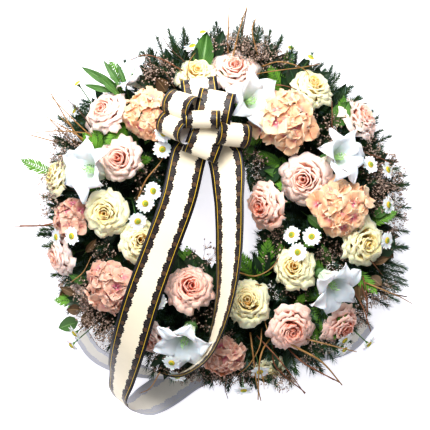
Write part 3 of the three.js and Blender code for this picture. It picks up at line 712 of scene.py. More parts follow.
# Which way each lily looks, in degrees from +X, how far it nods and slides, and how full it is.
for i, (*nod, fullness) in enumerate((
    (165, 20, 0.2, 1.28), (8, 32, 0.55, 1.16), (25, 28, 0.2, 1.14), (256, 34, 1.0, 1.14),
    (318, 30, 0.0, 1.14), (200, 20, 0.5, 1.12),
)):
    node = f"lily_{i + 1}"
    matrix = flower(node, f"lily_head_{i + 1}", lily_forms[i % 3], [white_cloth], below=1.10,
                    tall=1.17, turn=0.5 + 1.3 * i, fullness=fullness, nod=nod)
    bm = bmesh.new()
    put(bm, stamens, matrix)
    inside = piece_from(bm, f"lily_stamens_{i + 1}", stamen_green)
    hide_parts(node)


# ---- Hydrangeas: low domes of cloth florets, each pressed into four waved petals round a small
# bead. The florets are bound together on one wired pick.
def floret_form(seed):
    """One floret, a unit in radius: four broad waved petals round a bead."""
    rnd = random.Random(seed)
    bm = bmesh.new()
    for i in range(4):
        start = math.radians(90 * i + rnd.uniform(-9, 9))
        lift = rnd.uniform(-0.10, 0.42)
        drift = rnd.uniform(0, 99)
        wide = rnd.uniform(0.60, 0.72)

        def shape(u, v):
            reach = 0.03 + 0.97 * v
            swell = min(1.0, 0.16 + 1.25 * v**0.8) * (1 - 0.50 * max(0.0, (v - 0.55) / 0.45) ** 1.6)
            side = u * wide * swell
            reach -= 0.20 * abs(u) ** 2.2 * v
            height = lift * v**1.4 + 0.10 * math.sin(math.pi * v) * (1 - abs(u)) + 0.12 * abs(u) ** 2
            height += 0.26 * noise.noise(Vector((1.9 * u, 2.0 * v, drift)))
            height += 0.05 * math.sin(6.5 * u + drift) * v**2
            return spread(start, reach, height + 0.02 * i, side)

        petal_onto(bm, shape, across=6, along=5, ring=rnd.uniform(0.2, 1.0), tint=rnd.random())
    bead = bmesh.ops.create_icosphere(bm, subdivisions=1, radius=0.09,
                                      matrix=Matrix.Translation((0, 0, 0.08)))
    paint(bead["verts"], 1)
    return form_from(bm, f"floret_form_{seed}")


def hydrangea_form(seed, florets, count=17):
    """A head one unit in radius, its florets set loosely over a low dome."""
    rnd = random.Random(seed)
    bm = bmesh.new()
    for i in range(count):
        rise = 1 - 1.16 * (i + 0.5) / count
        turn = math.radians(137.5 * i) + rnd.uniform(-0.25, 0.25)
        flat = math.sqrt(max(0.0, 1 - rise * rise))
        aim = spread(turn, flat, rise)
        at = Vector((aim.x * 0.74, aim.y * 0.74, aim.z * 0.46 - 0.04)) * rnd.uniform(0.84, 1.06)
        lean = Vector((aim.x, aim.y, aim.z + 0.4))
        lean += Vector((rnd.uniform(-0.35, 0.35), rnd.uniform(-0.35, 0.35), 0))
        matrix = aimed(at, lean.normalized(), rnd.uniform(0, 6.3), rnd.uniform(0.38, 0.50))
        put(bm, florets[i % len(florets)], matrix)
    return form_from(bm, f"hydrangea_form_{seed}")


peach_cloth = petal_finish("peach_cloth", (0.88, 0.36, 0.20), (0.93, 0.60, 0.38), (0.95, 0.78, 0.62),
                           blush=1.2, flush=1.0, roughness=0.66)
# A deeper pink cloth for three of the heads: partly their own pinker dye, partly painted shade where they
# lie further from the lamp.
deep_pink_and_shaded_cloth = petal_finish("deep_pink_and_shaded_cloth", (0.58, 0.24, 0.17), (0.72, 0.42, 0.32), (0.84, 0.62, 0.53),
                           blush=1.2, flush=1.0, roughness=0.66)
bead_paint = plain_finish("bead_paint", (0.75, 0.66, 0.45), (0.86, 0.80, 0.62), 0.5)
floret_forms = [floret_form(seed) for seed in range(21, 26)]
hydrangea_forms = [hydrangea_form(seed, floret_forms) for seed in (31, 32, 33)]
for i in range(6):
    flower(f"hydrangea_{i + 1}", f"hydrangea_head_{i + 1}", hydrangea_forms[i % 3],
           [deep_pink_and_shaded_cloth if i in (2, 3, 5) else peach_cloth, bead_paint],
           below=0.70, tall=1.36, turn=1.1 * i, fullness=1.04)


# ---- Daisies: flat heads of narrow white cloth rays round a yellow and green eye, in small sprays
# that branch from one wired pick. A few more heads stand loose at the rim.
DAISY_SIZE = 16.5 * MM


def daisy_form(seed, rays=14):
    rnd = random.Random(seed)
    bm = bmesh.new()
    for layer in range(2):
        for i in range(rays):
            start = math.tau * (i + 0.5 * layer) / rays + rnd.uniform(-0.07, 0.07)
            droop = rnd.uniform(-0.16, 0.12) + 0.05 * layer
            long = rnd.uniform(0.88, 1.0) - 0.10 * layer

            def shape(u, v):
                reach = 0.16 + (long - 0.16) * v
                side = u * (0.085 + 0.055 * math.sin(math.pi * min(0.92, 0.1 + 0.8 * v)))
                reach -= 0.06 * u * u * v
                height = 0.10 - 0.07 * layer + droop * v * v - 0.03 * (1 - u * u)
                return spread(start, reach, height, side)

            # The lower layer's rays take more of the darker heart tone: painted shade under the upper rays.
            petal_onto(bm, shape, across=2, along=4, ring=0.6 - 0.4 * layer, tint=rnd.random())
    eye = bmesh.ops.create_uvsphere(bm, u_segments=16, v_segments=10, radius=0.34,
                                    matrix=Matrix.Translation((0, 0, 0.06)))
    for vert in eye["verts"]:
        vert.co.z = 0.06 + (vert.co.z - 0.06) * 0.55
        vert.co.z += 0.03 * noise.noise(vert.co * 30)
    for face in faces_round(eye["verts"]):
        face.material_index = 1 if face.calc_center_median().xy.length > 0.2 else 2
    stem_onto(bm, Vector((0, 0, -0.42)), Vector((0, 0, 0.05)), 0.07, 3, sides=8, thin=3.2)
    return form_from(bm, f"daisy_form_{seed}")


ray_cloth = petal_finish("ray_cloth", (0.84, 0.85, 0.83), (0.90, 0.91, 0.91), (0.95, 0.95, 0.96),
                         blush=0.0, roughness=0.55, relief=0.0003)
eye_yellow = plain_finish("eye_yellow", (0.42, 0.30, 0.01), (0.74, 0.58, 0.05), 0.7, 900.0, 0.0009)
eye_green = plain_finish("eye_green", (0.13, 0.22, 0.02), (0.34, 0.42, 0.05), 0.7, 900.0, 0.0009)
daisy_forms = [daisy_form(seed) for seed in (41, 42)]
# Each spray's root and lean, then each head's clock and reach and the length of its stem.
sprays = {
    1: (131, -8, ((128, 158, 128), (135, 141, 120))),
    2: (172, -20, ((164, 120, 118), (174, 128, 124), (186, 140, 118))),
    3: (190, 45, ((189, 247, 128), (188.5, 274, 122))),
    4: (338, -20, ((341, 113, 118), (344, 143, 124), (331, 132, 128))),
    5: (96, 60, ((97, 292, 132), (101, 272, 118))),
    6: (146, 62, ((139, 316, 152), (146, 292, 130))),
    7: (64, 55, ((61, 283, 136), (68, 284, 130))),
    8: (13, 45, ((18, 244, 118), (14.5, 270, 122))),
}
# The loose heads: clock, reach and stem.
loose = (
    (219, 312, 150), (221, 328, 166), (232.8, 177, 116), (250.5, 255, 128), (253.7, 275, 126),
    (276, 288, 136), (282.3, 262, 122), (350, 263, 124), (311, 293, 138), (317.4, 315, 156),
    (313, 282, 130), (2.5, 262, 120),
)


# The wires end inside the foam, in the middle of the ring's section.
CORE_REACH, CORE_HEIGHT = 170, 26


def core_at(clock, out=0.0, up=0.0):
    return place(clock, CORE_REACH + out, CORE_HEIGHT + up)


def pick_onto(bm, root, lean, material_index, run=52):
    """The straight pick that a bunch is wired to. Returns its foot in the foam and its top."""
    foot = core_at(root)
    neck = core_at(root, run * math.sin(math.radians(lean)), run * math.cos(math.radians(lean)))
    stem_onto(bm, foot, neck, PICK, material_index)
    return foot, neck


def daisy_onto(bm, number, root, spot, turn):
    """Puts a daisy at its stem's length from the foam. Returns both ends of its upper stem."""
    clock, reach, stem = spot
    foot = core_at(root)
    head = core_at(clock, reach - CORE_REACH, math.sqrt(stem**2 - (reach - CORE_REACH) ** 2))
    axis = (head - foot).normalized()
    put(bm, daisy_forms[number % 2], aimed(head, axis, turn, DAISY_SIZE))
    heads.append((head, DAISY_SIZE))
    return foot.lerp(head, 0.25), head - axis * 6 * MM


# Numbered as the daisy's form uses them: its rays, the eye's rim and middle, and stems.
daisy_finishes = (ray_cloth, eye_yellow, eye_green, stem_green)
for number, (root, lean, spots) in sprays.items():
    bm = bmesh.new()
    _, neck = pick_onto(bm, root, lean, 3)
    for k, spot in enumerate(spots):
        _, under = daisy_onto(bm, k, root, spot, 0.9 * k + number)
        stem_onto(bm, neck, under, MM, 3)
    made = piece_from(bm, f"daisies_{number}", *daisy_finishes)
    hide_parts(f"daisy_spray_{number}")
bm = bmesh.new()
for k, spot in enumerate(loose):
    low, under = daisy_onto(bm, k, spot[0], spot, 1.7 * k)
    stem_onto(bm, low, under, MM, 3)
made = piece_from(bm, "loose_daisies", *daisy_finishes)


# ---- Fir: moulded plastic needles twisted into a wire stem. Sprigs lie all round the ring in six
# bunches, low at the rim, upright between the flowers and short towards the middle.
needle_paint = plain_finish("needle_paint", (0.012, 0.034, 0.010), (0.045, 0.10, 0.03), 0.55, 45.0,
                            shine=0.25)
# Paler blue-green needles, about a quarter of them at random: partly the fir's own two-tone colour, partly
# painted highlight.
blue_needle_and_highlight = plain_finish("blue_needle_and_highlight", (0.05, 0.10, 0.085), (0.13, 0.21, 0.19), 0.5, 45.0, shine=0.25)
bark_paint = plain_finish("bark_paint", (0.05, 0.03, 0.014), (0.13, 0.08, 0.045), 0.8, 90.0, shine=0.25)


LONG, SHORT = 100, 62  # the lengths that sprigs are made in, in mm


def sprig_form(seed, length, needles, feather=1.0):
    """A sprig along +Z from the origin. feather makes its needles longer and thinner."""
    rnd = random.Random(seed)
    bm = bmesh.new()
    stem_onto(bm, Vector((0, 0, 0)), Vector((0, 0, length * 0.97)), 1.1, 2, sides=5, thin=0.5)
    for i in range(needles):
        share = (i + 0.5) / needles
        turn = math.radians(137.5 * i) + rnd.uniform(-0.3, 0.3)
        long = rnd.uniform(13, 20) * (1 - 0.4 * share**4) * min(1.0, 0.55 + 2.2 * share) * feather
        tilt = math.radians(rnd.uniform(42, 64) - 34 * share**5)
        aim = spread(turn, math.sin(tilt), math.cos(tilt))
        at = Vector((0, 0, 4 + (length - 6) * share))
        made = bmesh.ops.create_cone(bm, cap_ends=True, segments=3, radius1=0.85 / feather,
                                     radius2=0, depth=long, matrix=aimed(at + aim * long / 2, aim))
        for face in faces_round(made["verts"]):
            face.material_index = 1 if rnd.random() < 0.24 else 0
    form = form_from(bm, f"sprig_form_{seed}")
    form.transform(Matrix.Scale(MM, 4))
    return form


# Needles are numbered 0 and 1 (1 the paler blue-green ones, partly painted highlight), and bark 2.
sprig_forms = {
    "long": [sprig_form(seed, LONG, 155) for seed in (51, 52, 53)],
    "short": [sprig_form(seed, SHORT, 110) for seed in (54, 55, 56)],
    "rim": [sprig_form(seed, LONG, 145, 1.3) for seed in (57, 58, 59)],
}
# (count, foot reach and height, tip reach and height, how much the tip's reach varies, form)
fir_rows = (
    (12, (214, 20), (284, 24), 16, "long"), (11, (208, 42), (278, 58), 16, "long"),
    (10, (198, 54), (264, 90), 14, "long"), (10, (186, 56), (240, 106), 12, "short"),
    (9, (172, 58), (206, 116), 14, "short"), (8, (160, 56), (162, 112), 14, "short"),
    (8, (150, 52), (124, 98), 12, "short"), (7, (140, 42), (102, 72), 10, "short"),
    (7, (130, 26), (90, 34), 8, "short"),
)


def hits_head(foot, tip):
    """True if a straight run passes through a flower head."""
    points = [foot.lerp(tip, share) for share in (0.45, 0.65, 0.85, 1.0)]
    return any((at - middle).length < 0.92 * size for at in points for middle, size in heads)


def free_run(rnd, clock, foot_at, tip_at, vary):
    """A run from foot to tip that misses the flower heads, or None if none is found."""
    foot = place(clock, *foot_at)
    for attempt in range(7):
        tip = place(clock + rnd.uniform(-9, 9), tip_at[0] + rnd.uniform(-vary, vary),
                    max(4, tip_at[1] + rnd.uniform(-12, 8) - 6 * attempt))
        if not hits_head(foot, tip):
            return foot, tip
    return None


def run_matrix(foot, tip, natural, spin):
    """Carries a form that runs along +Z for its natural length onto the run from foot to tip."""
    run = tip - foot
    return aimed(foot, run.normalized(), spin) @ Matrix.Diagonal((1, 1, run.length / natural, 1))


# Longer sprigs that stand out round the rim: clock, tip reach and tip height.
rim_sprigs = (
    (4, 300, 70), (8, 296, 88), (12, 302, 64), (17, 290, 84), (24, 296, 60), (29, 292, 80),
    (36, 284, 72), (43, 286, 88), (49, 292, 64), (57, 286, 86), (63, 292, 96), (68, 284, 110),
    (73, 304, 84), (78, 312, 96), (81, 304, 108), (85, 316, 80), (89, 306, 98), (93, 300, 74),
    (97, 292, 86), (103, 292, 96), (106, 304, 90), (109, 310, 80), (112, 302, 98), (116, 292, 72),
    (121, 292, 60), (142, 294, 60), (147, 300, 84), (150, 306, 92), (154, 310, 80), (157, 300, 96),
    (161, 296, 66), (178, 296, 60), (186, 300, 76), (190, 306, 66), (194, 300, 88), (203, 300, 60),
    (209, 304, 54), (227, 296, 50), (240, 284, 60), (245, 292, 74), (249, 284, 86), (255, 282, 60),
    (262, 280, 74), (268, 284, 60), (275, 286, 70), (282, 288, 58), (288, 296, 76), (293, 302, 66),
    (298, 300, 82), (303, 304, 60), (308, 298, 78), (313, 292, 60), (323, 298, 50), (329, 306, 66),
    (297, 286, 100), (301, 280, 104), (306, 286, 94), (311, 282, 90), (318, 286, 74),
    (280, 278, 70), (285, 284, 84), (273, 272, 66), (266, 276, 80), (216, 284, 76), (221, 280, 80),
    (333, 314, 84), (337, 318, 72), (340, 312, 92), (344, 308, 80), (348, 300, 60), (355, 298, 76),
)
# Sprigs that lean in over the opening beside the right-hand tail: foot clock, then the tip.
inner_sprigs = (
    (80, 80, 88, 118), (74, 73, 84, 114), (68, 66, 80, 110), (62, 61, 74, 112), (57, 55, 66, 106),
    (51, 49, 62, 104), (45, 42, 58, 100), (38, 34, 62, 96), (30, 28, 74, 94), (338, 336, 66, 96),
    (331, 326, 62, 90), (324, 319, 70, 92), (316, 312, 76, 92), (308, 304, 80, 94), (344, 346, 74, 92),
)
rnd = random.Random(7)
for bunch in range(6):
    start = 60 * bunch
    bm = bmesh.new()
    for clock, reach, height in rim_sprigs:
        if start <= clock < start + 60:
            for beside in (0, rnd.uniform(-7, 7)):
                foot = place(clock, reach - 88, height * 0.6)
                tip = place(clock + beside + rnd.uniform(-4, 4), reach - 3 * abs(beside),
                            height - 2 * abs(beside))
                put(bm, rnd.choice(sprig_forms["rim"]), run_matrix(foot, tip, LONG * MM, clock))
    for at, tip_clock, tip_reach, tip_height in inner_sprigs:
        if start <= at < start + 60:
            foot, tip = place(at, 128, 62), place(tip_clock, tip_reach, tip_height)
            put(bm, rnd.choice(sprig_forms["short"]), run_matrix(foot, tip, SHORT * MM, at))
    for count, foot_at, tip_at, vary, kind in fir_rows:
        for i in range(count):
            clock = start + 60 * (i + 0.5) / count + rnd.uniform(-2.5, 2.5)
            run = free_run(rnd, clock, foot_at, tip_at, vary)
            if run:
                natural = (LONG if kind == "long" else SHORT) * MM
                put(bm, rnd.choice(sprig_forms[kind]), run_matrix(*run, natural, rnd.uniform(0, 6.3)))
    made = piece_from(bm, f"fir_{bunch + 1}", needle_paint, blue_needle_and_highlight, bark_paint, smooth=False)
    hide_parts(f"fir_bunch_{bunch + 1}")


# ---- Dark leaves: satin cloth leaves wired in low all over the ring, and a looser row out over the
# fir at its rim. They fill the gaps between the stems and hide the foam. Their near-black green is
# partly the leaves' own dark tone and partly painted shade of those gaps.
def leaf_form(seed, wide, bend=0.22, fold=0.30, across=4, along=6):
    """A leaf one unit long from the origin along +Z, its upper side towards +X."""
    rnd = random.Random(seed)
    drift = rnd.uniform(0, 99)
    bm = bmesh.new()

    def shape(u, v):
        half = wide * math.sin(math.pi * min(1.0, 0.03 + 0.97 * v**0.85)) ** 0.8
        lift = -bend * v * v + fold * wide * abs(u) + 0.05 * noise.noise(Vector((3 * v, 2 * u, drift)))
        return Vector((lift, u * half, v))

    petal_onto(bm, shape, across=across, along=along, ring=rnd.random(), tint=rnd.random())
    return form_from(bm, f"leaf_form_{seed}")


# Leaf cloth group: mottled green, with a paler midrib and side veins pressed into the cloth.
leaf_cloth, leaf_in, leaf_out = group_named("leaf_cloth", ("Dark", "Light", "Rib"))
pressed = functools.partial(sums, leaf_cloth)
_, (across_leaf, up_leaf, _) = uv_of(leaf_cloth, "petal")
spots = pressed("SUBTRACT", speckle(leaf_cloth, object_of(leaf_cloth), 34.0, 3.0), 0.5)
spots = pressed("MULTIPLY_ADD", spots, 2.4, 0.5, clamp=True)
green = blended(leaf_cloth, spots, leaf_in["Dark"], leaf_in["Light"])
off = pressed("ABSOLUTE", pressed("SUBTRACT", across_leaf, 0.5))
vein = pressed("SINE", pressed("MULTIPLY", pressed("MULTIPLY_ADD", off, -1.1, up_leaf), 56.0))
vein = pressed("MULTIPLY", pressed("GREATER_THAN", vein, 0.82), 0.35)
marks = pressed("MAXIMUM", pressed("LESS_THAN", off, 0.035), vein)
put_out(leaf_cloth, leaf_out, blended(leaf_cloth, marks, green, leaf_in["Rib"]), marks)


def leaf_finish(name, dark, light, rib, roughness):
    return finish_from(name, leaf_cloth, {"Dark": dark, "Light": light, "Rib": rib}, 0.0005, 0.5,
                       {"Roughness": roughness})


# Near black: partly the leaves' own dark green, partly painted shade for the gaps between stems.
dark_leaf_with_gap_shade = leaf_finish("dark_leaf_with_gap_shade", (0.006, 0.02, 0.008), (0.018, 0.055, 0.018),
                        (0.03, 0.08, 0.03), 0.42)
bright_leaf = leaf_finish("bright_leaf", (0.025, 0.09, 0.012), (0.08, 0.20, 0.035),
                          (0.14, 0.27, 0.08), 0.5)
brown_leaf = leaf_finish("brown_leaf", (0.055, 0.03, 0.012), (0.14, 0.08, 0.03),
                         (0.18, 0.11, 0.05), 0.55)
leaf_forms = [leaf_form(seed, 0.23) for seed in (61, 62, 63)]
round_forms = [leaf_form(seed, 0.40, 0.12, 0.2) for seed in (64, 65)]


def leaf_matrix(foot, tip, spin, size):
    """Carries a unit leaf, enlarged by size, onto the run from foot to tip. At spin 0 its upper side
    faces upwards."""
    ahead = (tip - foot).normalized()
    level = Vector((0, 0, 1)).cross(ahead)
    side = level.normalized() if level.length > 0.01 else Vector((1, 0, 0))
    up = ahead.cross(side)
    turn = Matrix((up, side, ahead)).transposed().to_4x4()
    return (Matrix.Translation(foot) @ turn @ Matrix.Rotation(spin, 4, "Z")
            @ Matrix.Scale((tip - foot).length * size, 4))


COVER, OUTER = 420, 44  # leaves on each half of the foam, and in its outer row
rnd = random.Random(17)
for half in range(2):
    bm = bmesh.new()
    for i in range(COVER):
        clock = 180 * half + 180 * (i + 0.5) / COVER + rnd.uniform(-4, 4)
        section = math.radians(rnd.uniform(2, 178))
        reach, height = CORE_REACH + 47 * math.cos(section), 8 + 42 * math.sin(section)
        foot = place(clock, reach, height)
        long = rnd.uniform(26, 42)
        lift = rnd.uniform(0.35, 1.15)
        tip = place(clock + rnd.uniform(-12, 12), reach + long * math.cos(section) * 0.9,
                    max(3, height + long * lift * max(0.1, math.sin(section))))
        put(bm, rnd.choice(leaf_forms), leaf_matrix(foot, tip, rnd.uniform(-0.9, 0.9), 1.1))
    for i in range(OUTER):
        clock = 180 * half + 180 * (i + 0.5) / OUTER + rnd.uniform(-2, 2)
        reach = rnd.uniform(262, 284)
        foot, tip = place(clock, reach - 42, 44), place(clock + rnd.uniform(-5, 5), reach, 62)
        put(bm, rnd.choice(leaf_forms), leaf_matrix(foot, tip, rnd.uniform(-0.6, 0.6), 1.1))
    made = piece_from(bm, f"dark_gap_shade_leaves_{half + 1}", dark_leaf_with_gap_shade)


# ---- Stems and twigs: dry rust and golden twigs wired in bunches, with thin side shoots, and long
# golden grasses bent over the flowers.
def sweep_onto(bm, points, radius, material_index, sides, thin, steps):
    """A round stem along a smooth curve, tapering to thin times its radius, with steps rows of
    faces from each point to the next."""
    rows = steps * (len(points) - 1)
    made = bmesh.ops.create_grid(bm, x_segments=sides, y_segments=rows, size=1)["verts"]
    frames = []
    side = smooth_at(points, 0)[1].orthogonal().normalized()
    for number in range(rows + 1):
        at, ahead = smooth_at(points, number / rows)
        side = (side - ahead * side.dot(ahead)).normalized()
        frames.append((at, side, ahead.cross(side), radius * (1 + (thin - 1) * number / rows)))
    for vert in made:
        turn = math.pi * (vert.co.x + 1)
        at, side, other, size = frames[round((vert.co.y + 1) / 2 * rows)]
        vert.co = at + (side * math.cos(turn) + other * math.sin(turn)) * size
    bmesh.ops.remove_doubles(bm, verts=made, dist=1e-6)
    kept = [vert for vert in made if vert.is_valid]
    rims = list({edge for vert in kept for edge in vert.link_edges if edge.is_boundary})
    bmesh.ops.holes_fill(bm, edges=rims, sides=0)
    bmesh.ops.recalc_face_normals(bm, faces=faces_round(kept))
    paint(kept, material_index)


rust_bark = plain_finish("rust_bark", (0.10, 0.038, 0.017), (0.24, 0.095, 0.042), 0.65, 120.0)
gold_bark = plain_finish("gold_bark", (0.19, 0.095, 0.028), (0.39, 0.22, 0.075), 0.55, 120.0)
dark_bark = plain_finish("dark_bark", (0.05, 0.03, 0.018), (0.14, 0.085, 0.05), 0.75, 120.0)


# root, lean, then each twig's middle and tip, and its bark: 0 rust, 1 golden, 2 dark.
twig_bunches = (
    (87, 66, (((89, 262, 92), (88.8, 331, 84), 1), ((85, 268, 84), (83.8, 332, 96), 2),
              ((82, 262, 70), (80, 306, 62), 2))),
    (154, 64, (((153, 262, 104), (145.8, 338, 104), 1), ((155, 268, 84), (152.2, 320, 76), 1),
               ((157, 280, 70), (158.4, 339, 58), 1))),
    (186, 78, (((184.5, 286, 52), (183.8, 335, 50), 0),)),
    (331, 72, (((332, 268, 60), (335, 327, 56), 2), ((326, 262, 60), (321.5, 296, 30), 0))),
    (293, 58, (((297, 268, 110), (304, 332, 92), 0), ((288, 258, 96), (294, 322, 60), 0),
               ((284, 236, 128), (280, 308, 84), 1))),
)
rnd = random.Random(23)
for number, (root, lean, twigs) in enumerate(twig_bunches):
    bm = bmesh.new()
    foot, neck = pick_onto(bm, root, lean, 2)
    for middle, tip, bark in twigs:
        middle, tip = place(*middle), place(*tip)
        sweep_onto(bm, [neck.lerp(foot, 0.05), middle, tip], 1.9 * MM, bark, sides=6, thin=0.5,
                   steps=7)
        for shoot in range(2):
            start = middle.lerp(tip, rnd.uniform(0.1, 0.5))
            aside = Vector((rnd.uniform(-1, 1), rnd.uniform(-1, 1), rnd.uniform(-0.2, 0.5))) * 13 * MM
            end = start.lerp(tip, rnd.uniform(0.35, 0.6)) + aside
            sweep_onto(bm, [start, start.lerp(end, 0.5) + aside * 0.15, end], 0.9 * MM, bark,
                       sides=4, thin=0.5, steps=3)
    made = piece_from(bm, f"twigs_{number + 1}", rust_bark, gold_bark, dark_bark)
    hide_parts(f"twig_bunch_{number + 1}")

# Grasses and thin twigs that arch over the flowers: thickness, bark, then points along each.
arches = (
    (1.5, 1, ((172.3, 142, 112), (158, 136, 124), (145, 130, 128), (134.1, 133, 120))),
    (1.0, 1, ((134.1, 133, 120), (135.6, 136, 124), (136.9, 142, 124), (140.6, 140, 126),
              (141.4, 131, 124))),
    (1.3, 1, ((282.2, 99, 112), (295.1, 113, 128), (310.4, 116, 130), (329.7, 111, 114))),
    (1.3, 1, ((281.2, 124, 108), (293.3, 126, 128), (300, 144, 116))),
    (1.1, 1, ((290.2, 181, 116), (290, 201, 122), (293.2, 199, 120), (293.2, 183, 116))),
    (1.5, 1, ((281.8, 197, 110), (281.1, 234, 118), (280.5, 275, 100), (280.8, 311, 80))),
    (2.1, 1, ((292.1, 209, 106), (297.7, 244, 120), (302.9, 287, 112), (304.1, 338, 82))),
    (1.3, 0, ((284.3, 205, 104), (289.5, 245, 116), (292.2, 285, 104), (293.7, 322, 76))),
    (1.3, 1, ((301.7, 238, 108), (306.5, 261, 120), (310.7, 288, 112), (313.3, 310, 92))),
    (1.2, 1, ((287.5, 196, 106), (284.5, 222, 118), (279.0, 248, 112), (274.5, 262, 100))),
    (1.2, 1, ((333.2, 250, 100), (333.8, 285, 108), (334.1, 314, 92), (333.9, 337, 76))),
    (1.4, 0, ((329, 235, 106), (325.5, 267, 118), (320.6, 303, 104))),
    (1.2, 0, ((332, 248, 108), (327.2, 270, 116), (321.7, 290, 100))),
    (1.1, 0, ((335.0, 244, 104), (330.0, 262, 116), (325.0, 280, 108))),
    (1.2, 1, ((151.5, 230, 100), (148.5, 288, 114), (146.3, 340, 104))),
    (1.2, 1, ((153.3, 232, 100), (152.4, 280, 114), (152, 326, 98))),
    (1.1, 1, ((149.7, 250, 100), (154.2, 298, 106), (158.6, 346, 84))),
    (1.1, 2, ((149.8, 236, 96), (145.4, 282, 112), (144.4, 316, 104))),
    (1.3, 0, ((183.5, 263, 90), (184.3, 303, 82), (183.9, 342, 66))),
    (1.2, 0, ((105, 229, 104), (112.0, 262, 114), (117.0, 282, 112), (122, 288, 96))),
    (1.0, 2, ((104.9, 249, 100), (108.5, 277, 110), (110.2, 314, 96))),
    (1.0, 2, ((112.0, 214, 104), (113.5, 246, 114), (118.5, 276, 104))),
    (1.4, 1, ((87.3, 241, 104), (85.8, 285, 110), (83.8, 334, 96))),
    (1.2, 1, ((78.1, 257, 104), (81.5, 295, 110), (80.2, 325, 100))),
    (1.1, 1, ((75.9, 241, 104), (69.5, 256, 124), (60.6, 261, 114), (55.8, 248, 104))),
    (1.1, 0, ((73.9, 213, 112), (64.9, 222, 132), (56.6, 230, 114))),
    (1.0, 1, ((78.0, 226, 104), (70.0, 240, 126), (62.0, 262, 116), (57.0, 284, 100))),
    (1.0, 1, ((112.0, 190, 120), (106.5, 216, 124), (103.5, 246, 118), (100.0, 262, 104))),
    (1.0, 1, ((247.9, 279, 90), (247, 309, 84), (244.8, 325, 70))),
    (1.0, 2, ((271.8, 261, 90), (270, 282, 74), (271, 305, 50))),
    (0.9, 0, ((344.0, 226, 96), (341.0, 250, 110), (338.0, 274, 96))),
    (1.0, 0, ((36.0, 212, 104), (42.5, 232, 124), (46.0, 246, 116))),
    (1.0, 0, ((24.0, 240, 96), (19.5, 262, 104), (15.0, 286, 92))),
    (0.9, 0, ((208.0, 214, 110), (215.0, 226, 124), (218.0, 246, 120), (219.5, 264, 104))),
    (0.9, 1, ((204.5, 270, 112), (203.0, 246, 124), (198.5, 226, 118))),
    (0.8, 0, ((190.0, 176, 104), (194.0, 160, 112), (203.5, 158, 108), (207.0, 172, 96))),
)
bm = bmesh.new()
for thick, bark, points in arches:
    sweep_onto(bm, [place(*point) for point in points], 1.15 * thick * MM, bark,
               sides=5, thin=0.5, steps=6)
made = piece_from(bm, "arching_grasses", rust_bark, gold_bark, dark_bark)


# ---- Leaves that show: long willow-like leaves at the upper left, a broad one at the top, small
# green and brown ones between the flowers.
slim_form = leaf_form(66, 0.105, 0.16, 0.3, 6, 12)
broad_form = leaf_form(67, 0.27, 0.24, 0.6, 8, 12)
for number, (root, lean, leaves) in enumerate((
    (134, 62, (((130.6, 262, 104), (135, 330, 96), slim_form, 1.0),
               ((133.2, 266, 102), (137.6, 302, 92), slim_form, 1.15),
               ((129.6, 262, 104), (129.0, 304, 106), slim_form, 1.2),
               ((132.0, 250, 100), (133.0, 290, 114), slim_form, 1.2),
               ((128.0, 258, 104), (126.2, 292, 108), slim_form, 1.1))),
    (97, 56, (((99, 230, 96), (96.4, 280, 106), broad_form, 1.2),)),
)):
    bm = bmesh.new()
    foot, neck = pick_onto(bm, root, lean, 1)
    for base, tip, form, size in leaves:
        base, tip = place(*base), place(*tip)
        sweep_onto(bm, [neck.lerp(foot, 0.05), base, base.lerp(tip, 0.12)], 1.1 * MM, 1,
                   sides=5, thin=0.7, steps=3)
        put(bm, form, leaf_matrix(base, tip, 0.15, size))
    made = piece_from(bm, f"leaf_spray_{number + 1}", bright_leaf, stem_green)
    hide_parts(f"leaf_sprig_{number + 1}")

